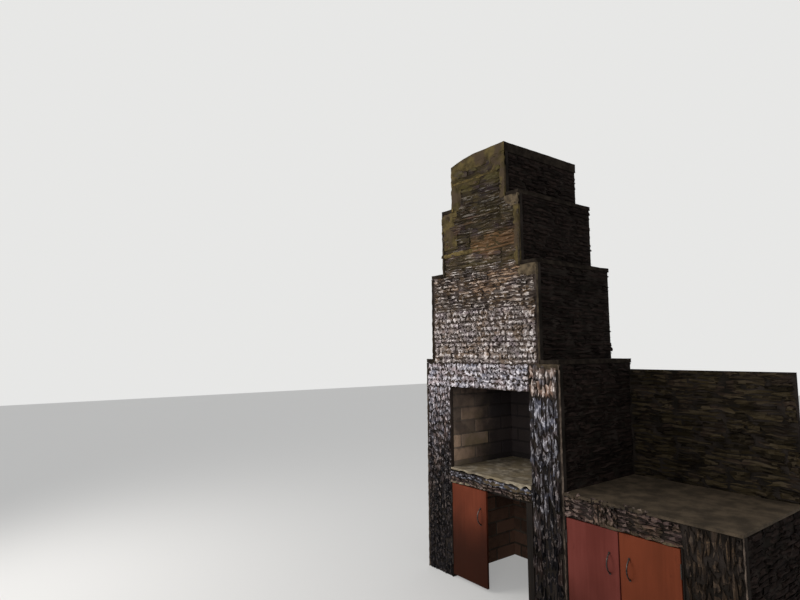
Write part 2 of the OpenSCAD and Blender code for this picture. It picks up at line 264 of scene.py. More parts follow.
class Paint(Graph):
    """A material under construction."""

    def __init__(self, name: str) -> None:
        """Starts a material with one Principled shader.

        Args:
            name: the material's name.
        """
        self.material = bpy.data.materials.new(name)
        self.material.use_nodes = True
        super().__init__(self.material.node_tree)
        self.shader = self.tree.nodes["Principled BSDF"]
        self.coords = self.node("ShaderNodeTexCoord", outlet="Object")

    def noise(self, scale: float, detail: float = 2.0, stretch: Colour = (1, 1, 1),
              shift: float = 0.0) -> Signal:
        """A noise pattern on the object's own coordinates.

        Args:
            scale: features to the metre.
            detail: octaves of finer noise.
            stretch: how dense the pattern is along each axis.
            shift: a shift that makes a second pattern differ from the first.

        Returns:
            The noise, about 0.3 to 0.7.
        """
        place = self.node("ShaderNodeMapping", {}, {"Vector": self.coords, "Scale": stretch,
                                                    "Location": (shift, shift, shift)})
        return self.node("ShaderNodeTexNoise", {}, {"Vector": place, "Scale": scale, "Detail": detail})

    def attribute(self, name: str) -> Signal:
        """A value that each stone or brick carries."""
        return self.node("ShaderNodeAttribute", {"attribute_name": name}, outlet="Fac")

    def axis(self, letter: str) -> Signal:
        """One of the object's coordinates."""
        return self.node("ShaderNodeSeparateXYZ", {}, {0: self.coords}, letter)

    def mix(self, share: Signal | float, first: Signal | Colour, second: Signal | Colour) -> Signal:
        """Mixes two colours."""
        return self.node("ShaderNodeMix", {"data_type": "RGBA"}, {0: share, 6: first, 7: second}, 2)

    def bump(self, height: Signal, depth: float) -> Signal:
        """Turns a height into a surface direction, with its depth in metres."""
        return self.node("ShaderNodeBump", {}, {"Height": height, "Distance": depth, "Strength": 1.0})

    def finish(self, **sockets: Signal | float | Colour) -> bpy.types.Material:
        """Links or sets the shader's sockets, whose names are written with underscores.

        Args:
            sockets: the value of each socket.

        Returns:
            The finished material.
        """
        for key, value in sockets.items():
            self.feed(self.shader.inputs[key.replace("_", " ")], value)
        return self.material


@dataclass(frozen=True)
class Finish:
    """A surface of the fireplace, which knows how to build its material."""

    name: str

    def material(self) -> bpy.types.Material:
        """Builds the material."""
        raise NotImplementedError


@dataclass(frozen=True)
class StoneFinish(Finish):
    """Varnished split stone, with painted shade in its hollows and painted highlights where its breaks catch
    the light.
    """

    # dark is the painted shade in the hollows; pale, and amber where warm, are the painted highlights;
    # glints, spark, soften, facet and crease set how much painted highlight shows and its shape.
    dark: Colour
    body: Colour
    warm: Colour
    pale: Colour
    glints: float
    stroke: Colour = (1.0, 1.0, 1.0)
    gloss: float = 0.15
    roughness: float = 0.5
    specular: float = 0.12
    amber: Colour = (0.46, 0.27, 0.13)
    tinges: tuple[Colour, Colour] | None = None
    spark: float = -0.02
    facet: float = 1.5
    veins: float = 1.5
    soften: float = 0.42
    crease: float = 0.0

    def material(self) -> bpy.types.Material:
        """Builds the stone's material.

        Returns:
            The material.
        """
        paint = Paint(self.name)
        tone = paint.attribute("tone")
        warmth = paint.attribute("warmth")
        dull = paint.attribute("dull")
        # height holds each facet's painted light, low on the stone's rims and corners as painted shade.
        height = paint.attribute("height")
        grain = paint.noise(40.0, 3.0, self.stroke) - 0.5
        cloud = paint.noise(9.0, 3.0, shift=7.0) - 0.5
        fine = paint.noise(160.0, 2.0, shift=3.0) - 0.5
        # Painted shade: low facets and the hollows of the noise mix towards the dark colour.
        relief = (height - 0.5) * self.facet + grain * self.veins + cloud * 0.8
        deep = tuple(part * 0.12 for part in self.dark)
        colour = paint.mix(relief.between(-0.75, 0.35), self.dark, self.body)
        heat = (warmth + cloud * 0.9 + grain * 0.9).between(0.15, 0.85)
        if self.tinges:
            hue = paint.noise(9.0, 3.0, (0.8, 0.8, 1.4), 17.0)
            colour = paint.mix(hue.between(0.51, 0.60) * 0.75, colour, self.tinges[0])
            colour = paint.mix(hue.between(0.47, 0.38) * 0.75, colour, self.tinges[1])
        colour = paint.mix(heat * 0.85, colour, self.warm)
        # Tone darkens towards deep: at random from stone to stone, and by patches that paint light and shade
        # on the fronts.
        colour = paint.mix(tone, deep, colour)
        # Painted highlights: pale, or amber where warm, on high facets and on ridges of noise; dullness takes
        # them away.
        if self.crease:
            fold = paint.noise(24.0, 2.0, self.stroke, 23.0) - 0.5
            relief = relief + (0.06 - fold.most(0.0 - fold)) * self.crease
        glint = (relief + fine * 1.4).between(self.spark, self.spark + self.soften)
        share = glint * self.glints * (tone * 0.7 + 0.3) * (1.0 - dull * 0.85)
        colour = paint.mix(share, colour, paint.mix(heat * 0.75, self.pale, self.amber))
        return paint.finish(
            Base_Color=colour,
            Specular_IOR_Level=self.specular,
            Roughness=(grain * 0.5 + self.roughness) + dull * 0.3,
            Coat_Weight=(1.0 - dull) * self.gloss,
            Coat_Roughness=0.2,
            Normal=paint.bump(grain * 0.8 + fine * 0.6, 0.005),
        )


@dataclass(frozen=True)
class MortarFinish(Finish):
    """Sand mortar or plaster with stains, and with patches of another tinge."""

    pale: Colour
    dark: Colour
    stain: float = 0.5
    roughness: float = 0.9
    tinge: Colour | None = None
    specular: float = 0.1
    grain: float = 7.0

    def material(self) -> bpy.types.Material:
        """Builds the mortar's material.

        Returns:
            The material.
        """
        paint = Paint(self.name)
        cloud = paint.noise(self.grain, 5.0)
        sand = paint.noise(260.0, 3.0, shift=5.0)
        colour = paint.mix((cloud * 0.7 + sand * 0.3).between(self.stain - 0.12, self.stain + 0.16),
                           self.dark, self.pale)
        if self.tinge:
            patch = (paint.noise(self.grain * 0.6, 4.0, shift=11.0) + sand * 0.1).between(0.50, 0.64)
            colour = paint.mix(patch * 0.85, colour, self.tinge)
        return paint.finish(Base_Color=colour, Specular_IOR_Level=self.specular,
                            Roughness=self.roughness,
                            Normal=paint.bump(sand * 0.6 + paint.noise(60.0, 3.0) * 0.6, 0.003))


@dataclass(frozen=True)
class BrickFinish(Finish):
    """Clay bricks; where there is soot it blackens them towards the top and the back of the fire."""

    pale: Colour
    dark: Colour
    soot: Colour | None = None
    outside: tuple[Colour, Colour] | None = None
    stain: Colour = (0.20, 0.16, 0.065)

    def material(self) -> bpy.types.Material:
        """Builds the bricks' material.

        Returns:
            The material.
        """
        paint = Paint(self.name)
        tone = paint.attribute("tone")
        cloud = paint.noise(16.0, 4.0)
        sand = paint.noise(240.0, 3.0, shift=2.0)
        shade = (tone * 0.6 + cloud * 0.5 + sand * 0.2).between(0.25, 0.95)
        colour = paint.mix(shade, self.dark, self.pale)
        if self.soot and self.outside:
            high = (paint.axis("Z") + cloud * 0.5).between(0.95, 1.80)
            deep = (paint.axis("Y") + cloud * 0.3).between(-0.32, 0.26)
            smoke = high.most(deep) * (1.0 - 0.8 * paint.attribute("warmth"))
            blotch = paint.noise(6.0, 5.0, shift=9.0).between(0.42, 0.62)
            smoke = (smoke * 0.95).most(cloud.between(0.35, 0.7) * 0.35)
            smoke = smoke.most(blotch * (0.65 - paint.attribute("warmth") * 0.5))
            stain = paint.noise(5.0, 3.0, shift=31.0).between(0.52, 0.62) * 0.4
            colour = paint.mix(smoke, paint.mix(stain, colour, self.stain), self.soot)
            colour = paint.mix(paint.axis("Y").between(0.395, 0.415), colour, paint.mix(shade, *self.outside))
        return paint.finish(Base_Color=colour, Specular_IOR_Level=0.1, Roughness=0.9,
                            Normal=paint.bump(sand * 0.5 + paint.noise(45.0, 4.0) * 0.8, 0.004))


@dataclass(frozen=True)
class BoardFinish(Finish):
    """Cherry laminate on board, with a faint upright grain, scuffs and a darker foot."""

    light: Colour
    deep: Colour
    foot_and_scuff_colour: Colour
    foot: float
    cover: float = 0.75
    specular: float = 0.12

    def material(self) -> bpy.types.Material:
        """Builds the laminate's material.

        Returns:
            The material.
        """
        paint = Paint(self.name)
        grain = paint.noise(70.0, 4.0, (1.0, 1.0, 0.05))
        cloud = paint.noise(3.0, 3.0, (1.0, 1.0, 0.6), 4.0)
        scuff = paint.noise(24.0, 6.0, (1.0, 1.0, 0.5), 8.0)
        colour = paint.mix((grain * 0.25 + cloud * 0.95).between(0.4, 0.8), self.deep, self.light)
        height = paint.axis("Z")
        # Darker towards the bottom, and at scuffs.
        foot_and_scuffs = (1.0 - (height + cloud * 0.3).between(self.foot - 0.1, self.foot + 0.45)) * self.cover
        foot_and_scuffs = foot_and_scuffs.most(scuff.between(0.62, 0.75) * 0.35)
        colour = paint.mix(foot_and_scuffs, colour, self.foot_and_scuff_colour)
        return paint.finish(Base_Color=colour, Specular_IOR_Level=self.specular,
                            Roughness=cloud * 0.2 + scuff * 0.25 + 0.26,
                            Normal=paint.bump(grain * 0.4 + scuff * 0.2, 0.0006))


@dataclass(frozen=True)
class TimberFinish(Finish):
    """Rough sawn timber, painted nearly black as the shade in the gaps round the doors."""

    light: Colour
    deep: Colour

    def material(self) -> bpy.types.Material:
        """Builds the timber's material.

        Returns:
            The material.
        """
        paint = Paint(self.name)
        grain = paint.noise(110.0, 5.0, (1.0, 1.0, 0.06))
        cloud = paint.noise(6.0, 3.0)
        colour = paint.mix((grain * 0.8 + cloud * 0.3).between(0.35, 0.75), self.deep, self.light)
        return paint.finish(Base_Color=colour, Specular_IOR_Level=0.1,
                            Roughness=grain * 0.3 + 0.55, Normal=paint.bump(grain, 0.0015))


@dataclass(frozen=True)
class MetalFinish(Finish):
    """Dark plated or bare steel, dulled by handling."""

    bright: Colour
    tarnish: Colour
    metallic: float
    roughness: float

    def material(self) -> bpy.types.Material:
        """Builds the metal's material.

        Returns:
            The material.
        """
        paint = Paint(self.name)
        spots = paint.noise(160.0, 4.0)
        wear = spots.between(0.45, 0.65)
        return paint.finish(Base_Color=paint.mix(wear, self.bright, self.tarnish), Metallic=self.metallic,
                            Roughness=wear * 0.25 + self.roughness, Normal=paint.bump(spots, 0.0002))


class Shop:
    """The finishes of the fireplace; each material is built once."""

    UPRIGHT_STROKE = (1.9, 1.9, 0.52)
    LEVEL_STROKE = (0.28, 0.28, 1.5)
    FRONT = StoneFinish("varnished_stone", (0.085, 0.066, 0.057), (0.325, 0.272, 0.252),
                        (0.24, 0.135, 0.075), (0.80, 0.74, 0.72), 0.95, (0.9, 0.9, 0.8), 0.10,
                        tinges=((0.175, 0.115, 0.072), (0.245, 0.195, 0.205)), spark=0.05, facet=1.0,
                        veins=0.8, soften=0.5, crease=6.0)
    LEDGE = StoneFinish("ledge_stone", (0.058, 0.044, 0.036), (0.185, 0.145, 0.120), (0.20, 0.105, 0.045),
                        (0.78, 0.71, 0.67), 0.9, (0.42, 0.42, 1.3), 0.08, specular=0.08,
                        tinges=((0.120, 0.072, 0.032), (0.135, 0.105, 0.108)), spark=0.08, facet=1.2,
                        veins=1.1, soften=0.5, crease=4.0)
    # Paler and pinker than the lower stage's stone: partly its own colour, partly painted light.
    BREAST = StoneFinish("breast_stone", (0.105, 0.092, 0.100), (0.440, 0.400, 0.430), (0.36, 0.27, 0.21),
                         (0.92, 0.88, 0.92), 0.95, (0.9, 0.9, 0.8), 0.10,
                         tinges=((0.380, 0.295, 0.300), (0.310, 0.312, 0.380)), spark=0.0, facet=1.0,
                         veins=0.8, soften=0.5, crease=6.0)
    PIER = StoneFinish("pier_stone", (0.060, 0.053, 0.061), (0.400, 0.376, 0.420), (0.30, 0.150, 0.082),
                       (0.94, 0.92, 1.0), 0.95, UPRIGHT_STROKE, 0.06, specular=0.06,
                       amber=(0.90, 0.64, 0.48), tinges=((0.340, 0.275, 0.275), (0.290, 0.305, 0.410)),
                       spark=0.10, facet=1.1, veins=1.0, crease=7.0)
    # A brighter copy of the pier stone, as painted light at the left pier's top, with its own stroke.
    CRUMBS = replace(PIER, name="left_pier_stone", dark=(0.110, 0.098, 0.108), body=(0.460, 0.435, 0.480),
                     stroke=(1.1, 1.1, 0.62), spark=0.06)
    ORANGE = replace(PIER, name="orange_pier_stone", dark=(0.080, 0.060, 0.052), body=(0.400, 0.325, 0.295),
                     warm=(0.36, 0.215, 0.150), pale=(0.96, 0.88, 0.84), amber=(0.92, 0.74, 0.63),
                     stroke=(1.8, 1.8, 0.42), spark=0.10,
                     tinges=((0.340, 0.235, 0.185), (0.320, 0.295, 0.330)))
    BROWN = StoneFinish("brown_pier_stone", (0.010, 0.008, 0.007), (0.046, 0.034, 0.028),
                        (0.060, 0.040, 0.026), (0.14, 0.12, 0.10), 0.4, UPRIGHT_STROKE, 0.03, specular=0.05,
                        spark=0.05)
    UPPER = StoneFinish("upper_stone", (0.022, 0.016, 0.010), (0.066, 0.047, 0.028), (0.128, 0.068, 0.029),
                        (0.46, 0.42, 0.37), 0.5, LEVEL_STROKE, 0.02, specular=0.04, amber=(0.34, 0.21, 0.11),
                        tinges=((0.068, 0.052, 0.022), (0.058, 0.040, 0.042)), spark=0.20, facet=0.9,
                        veins=2.2)
    CROWN = StoneFinish("crown_stone", (0.024, 0.017, 0.013), (0.054, 0.039, 0.032), (0.080, 0.062, 0.018),
                        (0.13, 0.11, 0.060), 0.3, LEVEL_STROKE, 0.0, specular=0.03, amber=(0.17, 0.14, 0.05),
                        tinges=((0.066, 0.054, 0.016), (0.048, 0.033, 0.036)), spark=0.1)
    # Painted shade: the fronts' stone kept nearly black, with few painted highlights, for the sides that lie
    # in shade.
    SIDE = StoneFinish("dark_side_stone", (0.0125, 0.0085, 0.007), (0.030, 0.0195, 0.0165),
                       (0.030, 0.019, 0.013), (0.060, 0.047, 0.039), 0.22, LEVEL_STROKE, 0.0, 0.8, 0.03,
                       (0.04, 0.027, 0.018))
    SPLASH = StoneFinish("splashback_stone", (0.0125, 0.009, 0.0055), (0.053, 0.039, 0.022),
                         (0.060, 0.042, 0.021), (0.10, 0.08, 0.055), 0.24, LEVEL_STROKE, 0.0, 0.75, 0.04,
                         (0.08, 0.058, 0.032), ((0.048, 0.035, 0.017), (0.040, 0.027, 0.020)))
    EDGE = StoneFinish("slate_edge_stone", (0.024, 0.025, 0.032), (0.124, 0.122, 0.142), (0.15, 0.11, 0.09),
                       (0.56, 0.55, 0.63), 0.66, gloss=0.06, specular=0.06,
                       tinges=((0.105, 0.088, 0.092), (0.070, 0.078, 0.112)))
    BAND = StoneFinish("counter_band_stone", (0.018, 0.012, 0.010), (0.094, 0.062, 0.053),
                       (0.12, 0.070, 0.048), (0.34, 0.26, 0.22), 0.42, (0.8, 0.8, 1.1), 0.05, specular=0.05,
                       tinges=((0.075, 0.055, 0.034), (0.070, 0.046, 0.044)))
    GROUT = MortarFinish("dark_bed_mortar", (0.034, 0.027, 0.023), (0.012, 0.010, 0.008), specular=0.03)
    # A lighter copy of the bed mortar, as painted light between the stones of the lit fronts and the left
    # pier's cheek.
    LIT_GROUT = MortarFinish("brown_bed_mortar", (0.070, 0.053, 0.044), (0.030, 0.023, 0.019), specular=0.03)
    SMOOTH_GROUT = MortarFinish("olive_bed_mortar", (0.062, 0.047, 0.024), (0.026, 0.020, 0.012),
                                specular=0.03)
    BEAD = MortarFinish("corner_mortar", (0.27, 0.205, 0.160), (0.085, 0.064, 0.050), 0.5, grain=22.0)
    STAGE_BEAD = MortarFinish("stage_corner_mortar", (0.128, 0.098, 0.064), (0.040, 0.030, 0.021),
                              grain=24.0)
    EDGING = MortarFinish("panel_edge_mortar", (0.085, 0.066, 0.042), (0.022, 0.017, 0.012), 0.5, grain=18.0)
    # A dimmed copy of the panel edge mortar, as painted shade on the corners' edges that face the sides.
    DIM_EDGING = MortarFinish("dark_panel_edge_mortar", (0.030, 0.024, 0.020), (0.009, 0.007, 0.006), 0.5)
    # Mortar darkened as painted shade, for the shoulders and the chimney's top, which lie in shade.
    CAP = MortarFinish("shoulder_mortar", (0.036, 0.028, 0.021), (0.012, 0.009, 0.007), grain=18.0,
                       specular=0.03)
    PATCH = MortarFinish("patching_mortar", (0.142, 0.106, 0.064), (0.048, 0.036, 0.024), 0.5, grain=24.0)
    OLIVE = MortarFinish("olive_mortar", (0.118, 0.088, 0.034), (0.044, 0.033, 0.015), 0.5,
                         tinge=(0.062, 0.043, 0.028), grain=16.0)
    GOLD = MortarFinish("gold_mortar", (0.195, 0.142, 0.052), (0.070, 0.052, 0.022), grain=26.0)
    PLASTER = MortarFinish("hearth_plaster", (0.38, 0.325, 0.240), (0.140, 0.114, 0.082), 0.48,
                           tinge=(0.215, 0.172, 0.108), grain=18.0)
    SCREED = MortarFinish("counter_screed", (0.098, 0.072, 0.047), (0.040, 0.030, 0.020), 0.5, 0.75,
                          grain=12.0)
    CONCRETE = MortarFinish("slab_concrete", (0.16, 0.135, 0.11), (0.06, 0.048, 0.04))
    SMOKED = MortarFinish("smoked_concrete", (0.036, 0.032, 0.034), (0.014, 0.012, 0.013))
    JOINT = MortarFinish("brick_joint_mortar", (0.15, 0.12, 0.095), (0.06, 0.047, 0.037))
    SOOTY_JOINT = BrickFinish("sooty_joint_mortar", (0.50, 0.39, 0.30), (0.32, 0.25, 0.195),
                              (0.020, 0.0175, 0.020), ((0.06, 0.047, 0.037), (0.15, 0.12, 0.095)))
    BRICK = BrickFinish("clay_brick", (0.20, 0.115, 0.080), (0.085, 0.052, 0.038))
    FIRE_BRICK = BrickFinish("fire_brick", (0.60, 0.415, 0.290), (0.25, 0.190, 0.145),
                             (0.030, 0.0265, 0.031), (BRICK.dark, BRICK.pale))
    # A pinker copy of the orange laminate: painted sheen where the left counter door reflects the light.
    SHEEN_PINK_BOARD = BoardFinish("pink_laminate", (0.168, 0.040, 0.031), (0.108, 0.022, 0.016),
                             (0.045, 0.012, 0.008), 0.28, 0.5, 0.08)
    ORANGE_BOARD = BoardFinish("orange_laminate", (0.165, 0.037, 0.015), (0.115, 0.026, 0.010),
                               (0.060, 0.016, 0.008), 0.20, 0.4, 0.08)
    # Lighter at its top as a painted highlight, and much darker downwards.
    BROWN_BOARD = BoardFinish("brown_laminate", (0.205, 0.049, 0.024), (0.112, 0.026, 0.012),
                              (0.022, 0.0065, 0.0032), 0.45, 0.95, 0.05)
    # Painted shade: the lining is kept nearly black, as the shade in the gaps round the doors.
    SHADED_TIMBER = TimberFinish("lining_timber", (0.015, 0.0105, 0.008), (0.006, 0.0045, 0.0035))
    HANDLE = MetalFinish("handle_metal", (0.075, 0.06, 0.055), (0.02, 0.015, 0.013), 0.85, 0.3)
    HINGE = MetalFinish("hinge_steel", (0.042, 0.034, 0.028), (0.018, 0.012, 0.009), 0.4, 0.6)

    @staticmethod
    @cache
    def get(finish: Finish) -> bpy.types.Material:
        """The material of a finish, built at its first use."""
        return finish.material()


class Element(Enum):
    """What is selected in edit mode: the name is the operator's, the value the mesh's."""

    FACE = "polygons"
    VERT = "vertices"


class Bench:
    """The modelling bench: Blender's own operators, with everything else deselected first."""

    @staticmethod
    def pick(*things: bpy.types.Object) -> None:
        """Selects some objects only.

        Args:
            things: the objects, of which the first becomes the active one.
        """
        bpy.ops.object.select_all(action="DESELECT")
        for thing in things:
            thing.select_set(True)
        bpy.context.view_layer.objects.active = things[0]

    @staticmethod
    @contextmanager
    def editing(block: bpy.types.Object) -> Iterator[None]:
        """Opens edit mode on one object, with all of its mesh selected.

        Args:
            block: the object to edit.

        Yields:
            Nothing; edit mode is closed when the block of code ends.
        """
        Bench.pick(block)
        bpy.ops.object.mode_set(mode="EDIT")
        bpy.ops.mesh.select_all(action="SELECT")
        yield
        bpy.ops.object.mode_set(mode="OBJECT")

    @staticmethod
    def choose(block: bpy.types.Object, kind: Element, test: Callable[[bpy.types.bpy_struct], bool]) -> None:
        """Selects only the faces or the points of the edited mesh that pass a test.

        Args:
            block: the object in edit mode.
            kind: whether faces or points are chosen.
            test: the test of one face or point.
        """
        bpy.ops.mesh.select_mode(type=kind.name)
        bpy.ops.mesh.select_all(action="DESELECT")
        bpy.ops.object.mode_set(mode="OBJECT")
        for item in getattr(block.data, kind.value):
            item.select = test(item)
        bpy.ops.object.mode_set(mode="EDIT")

    @staticmethod
    def box(*points: Vector) -> tuple[Vector, Vector]:
        """The lowest and highest corner of the box round some points."""
        return Vector(map(min, *points)), Vector(map(max, *points))

    @staticmethod
    def reach(block: bpy.types.Object) -> tuple[Vector, Vector]:
        """The lowest and highest corner of an object's own mesh."""
        return Bench.box(*(Vector(corner) for corner in block.bound_box))

    @staticmethod
    def block(name: str, *corners: Vector) -> bpy.types.Object:
        """Adds a block with its place in its mesh.

        Args:
            name: its name.
            corners: two opposite corners of it.

        Returns:
            The block.
        """
        low, high = Bench.box(*corners)
        bpy.ops.object.select_all(action="DESELECT")
        bpy.ops.mesh.primitive_cube_add(size=1.0, location=(low + high) / 2, scale=high - low)
        block = bpy.context.object
        block.name = name
        bpy.ops.object.transform_apply(location=True, rotation=True, scale=True)
        return block

    @staticmethod
    def copy_of(node: str, name: str) -> bpy.types.Object:
        """Copies a CAD node's mesh, merges it and makes its flat faces whole.

        Args:
            node: the CAD node.
            name: the copy's name.

        Returns:
            The copy.
        """
        block = bpy.data.objects.new(name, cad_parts[node].data.copy())
        block.data.materials.clear()
        bpy.context.scene.collection.objects.link(block)
        with Bench.editing(block):
            bpy.ops.mesh.remove_doubles(threshold=0.00001)
            bpy.ops.mesh.dissolve_limited(angle_limit=math.radians(1))
        return block

    @staticmethod
    def slice(block: bpy.types.Object, steps: Size) -> None:
        """Cuts a mesh across each axis at even steps.

        Args:
            block: the object to cut.
            steps: the wanted step along each axis, or 0 for no cut.
        """
        low, high = Bench.reach(block)
        with Bench.editing(block):
            for axis, step in enumerate(steps):
                span = high[axis] - low[axis]
                count = round(span / step) if step else 0
                normal = Vector(1.0 if i == axis else 0.0 for i in range(3))
                for k in range(1, count):
                    bpy.ops.mesh.select_all(action="SELECT")
                    bpy.ops.mesh.bisect(plane_co=normal * (low[axis] + span * k / count), plane_no=normal)

    @staticmethod
    def modify(block: bpy.types.Object, kind: str, **settings: object) -> None:
        """Changes a mesh by one modifier, which is applied at once.

        Args:
            block: the object to change.
            kind: the modifier's type.
            settings: the modifier's settings.
        """
        Bench.pick(block)
        change = block.modifiers.new(kind.title(), kind)
        for key, value in settings.items():
            setattr(change, key, value)
        bpy.ops.object.modifier_apply(modifier=change.name)

    @staticmethod
    def clouds(kind: str, grain: float, depth: int) -> bpy.types.CloudsTexture:
        """Makes a procedural cloud texture.

        Args:
            kind: GRAYSCALE, or COLOR for one cloud along each axis.
            grain: the size of its clouds.
            depth: how many finer clouds lie in them.

        Returns:
            The texture.
        """
        texture = bpy.data.textures.new("clouds", "CLOUDS")
        texture.cloud_type = kind
        texture.noise_scale = grain
        texture.noise_depth = depth
        return texture

    @staticmethod
    def roughen(block: bpy.types.Object, depth: float, grain: float) -> None:
        """Wears a mesh down by up to a depth, with hollows of a given size."""
        Bench.modify(block, "DISPLACE", texture=Bench.clouds("GRAYSCALE", grain, 3), texture_coords="LOCAL",
                     mid_level=1.0, strength=depth)

    @staticmethod
    def waver(block: bpy.types.Object, reach: float, grain: float) -> None:
        """Shifts a mesh sideways and in depth, by a cloud that all stones share."""
        Bench.modify(block, "DISPLACE", texture=Bench.clouds("COLOR", grain, 1), texture_coords="LOCAL",
                     direction="RGB_TO_XYZ", mid_level=0.5, strength=reach)

    @staticmethod
    def soften(block: bpy.types.Object, width: float, segments: int = 2) -> None:
        """Rounds a block's edges."""
        Bench.modify(block, "BEVEL", width=width, segments=segments, limit_method="ANGLE")

    @staticmethod
    def keep_within(block: bpy.types.Object, *corners: Vector) -> None:
        """Presses what stands past a box back to its sides, given two opposite corners of the box."""
        for vertex in block.data.vertices:
            vertex.co = Vector(sorted(trio)[1] for trio in zip(vertex.co, *corners))

    @staticmethod
    def join(name: str, pieces: list[bpy.types.Object]) -> bpy.types.Object:
        """Joins pieces into the first one.

        Args:
            name: the name of the whole.
            pieces: the pieces.

        Returns:
            The whole.
        """
        Bench.pick(*pieces)
        if len(pieces) > 1:
            bpy.ops.object.join()
        pieces[0].name = name
        return pieces[0]

    @staticmethod
    def paint(block: bpy.types.Object, *finishes: Finish) -> bpy.types.Object:
        """Gives an object its materials.

        Args:
            block: the object.
            finishes: its finishes, in the order of its faces' material numbers.

        Returns:
            The object.
        """
        block.data.materials.clear()
        for finish in finishes:
            block.data.materials.append(Shop.get(finish))
        return block


class Delivery:
    """Hands each finished piece over to the frame."""

    @staticmethod
    def piece(piece: bpy.types.Object, body: str, slot: str, *nodes: str) -> None:
        """Puts a piece on its body in place of its nodes.

        Args:
            piece: the finished piece.
            body: the body that it rides on.
            slot: the record's material slot; not used.
            nodes: the CAD nodes that it stands for.
        """
        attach(piece, body)
        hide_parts(*nodes)
        LOG.info("%s rides on %s, %d faces", piece.name, body, len(piece.data.polygons))

    @staticmethod
    def node(name: str, finish: Finish) -> None:
        """Gives a CAD node that keeps its own shape a better material."""
        Bench.paint(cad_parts[name], finish)
        LOG.info("%s keeps its own shape", name)


@dataclass
class Bank:
    """Models of one kind of block, each made once and then copied."""

    TAGS = ("tone", "warmth", "dull")

    name: str
    count: int
    seed: int

    def __post_init__(self) -> None:
        """Models the blocks, each from a seed of its own."""
        self.models = [self.shape(self.seed + k) for k in range(self.count)]
        for model in self.models:
            for tag in self.TAGS:
                model.data.attributes.new(tag, "FLOAT", "POINT")

    def shape(self, seed: int) -> bpy.types.Object:
        """Models one block."""
        raise NotImplementedError

    @staticmethod
    def fit(block: bpy.types.Object) -> bpy.types.Object:
        """Scales a shaped block to a unit cube about the origin.

        Args:
            block: the shaped block.

        Returns:
            The same block.
        """
        low, high = Bench.reach(block)
        size = high - low
        block.data.transform(Matrix.Diagonal((1 / size.x, 1 / size.y, 1 / size.z, 1))
                             @ Matrix.Translation(-(low + high) / 2))
        return block

    def copy(self, dice: random.Random, matrix: Matrix, tags: Tags, finish: Finish) -> bpy.types.Object:
        """Copies one of the models to its place.

        Args:
            dice: draws the model and which way up it lies.
            matrix: the place and size of the unit block.
            tags: the block's tone, warmth and dullness.
            finish: its finish.

        Returns:
            The copy, with its own mesh.
        """
        model = dice.choice(self.models)
        turn = Matrix.Diagonal((-1, -1, 1, 1)) if dice.random() < 0.5 else Matrix.Identity(4)
        block = bpy.data.objects.new(self.name, model.data.copy())
        block.data.transform(matrix @ turn)
        for tag, value in zip(self.TAGS, tags):
            block.data.attributes[tag].data.foreach_set("value", [value] * len(block.data.vertices))
        block.data.materials.append(Shop.get(finish))
        bpy.context.scene.collection.objects.link(block)
        return block

    def clear(self) -> None:
        """Takes the models away when all copies are made."""
        for model in self.models:
            bpy.data.objects.remove(model)


@dataclass
class StoneBank(Bank):
    """Split stones with a broken face, which looks up along Z while they are modelled."""

    RIM_DROP = 0.28
    SCATTER = 0.06
    MIDDLE = 0.2
    # Ranges of a facet's painted light: high in the middle, low on the corners and flanks as painted shade.
    PEAK = (0.4, 1.0)
    RIM = (0.05, 0.95)
    CORNER = (0.0, 0.7)
    FLANK = (0.0, 0.2)

    facets: tuple[int, int]
    break_depth: float

    def shape(self, seed: int) -> bpy.types.Object:
        """Models one stone: a grid pulled up to a block, eased at its rim and broken at random.

        Args:
            seed: the seed of its breaks.

        Returns:
            The stone, as a unit block.
        """
        bpy.ops.object.select_all(action="DESELECT")
        across, along = self.facets
        bpy.ops.mesh.primitive_grid_add(x_subdivisions=across, y_subdivisions=along, size=1.0)
        stone = bpy.context.object
        stone.name = self.name
        with Bench.editing(stone):
            bpy.ops.mesh.extrude_region_move(TRANSFORM_OT_translate={"value": (0, 0, 1)})
            Bench.choose(stone, Element.VERT, self.on_rim)
            bpy.ops.transform.translate(value=(0, 0, -self.RIM_DROP))
            Bench.choose(stone, Element.VERT, lambda point: point.co.z > 0.1)
            bpy.ops.transform.vertex_random(offset=self.SCATTER, seed=seed)
            bpy.ops.transform.vertex_random(offset=self.break_depth, uniform=0.2, normal=1.0, seed=seed + 50)
            Bench.choose(stone, Element.FACE, lambda face: face.normal.z < -0.9 and face.center.z < 0.1)
            bpy.ops.mesh.dissolve_faces()
        self.fit(stone)
        # The height attribute holds each facet's painted light.
        facet_light = stone.data.attributes.new("height", "FLOAT", "FACE")
        dice = random.Random(seed)
        facet_light.data.foreach_set("value", [self.facet_painted_light(face, dice) for face in stone.data.polygons])
        return stone

    @staticmethod
    def on_rim(point: bpy.types.MeshVertex) -> bool:
        """Whether a point lies on the rim of the stone's upper face."""
        return point.co.z > 0.9 and max(abs(point.co.x), abs(point.co.y)) > 0.49

    def facet_painted_light(self, face: bpy.types.MeshPolygon, dice: random.Random) -> float:
        """Draws how much painted light a facet gets: least at the stone's corners and on its flanks, as
        painted shade.

        Args:
            face: the facet.
            dice: the source of the draw.

        Returns:
            Its height, from 0 to 1.
        """
        away = sorted((abs(face.center.x), abs(face.center.y)))
        if face.center.z < 0.0:
            return dice.uniform(*self.FLANK)
        if away[1] < self.MIDDLE:
            return dice.uniform(*self.PEAK)
        return dice.uniform(*(self.CORNER if away[0] > self.MIDDLE else self.RIM))


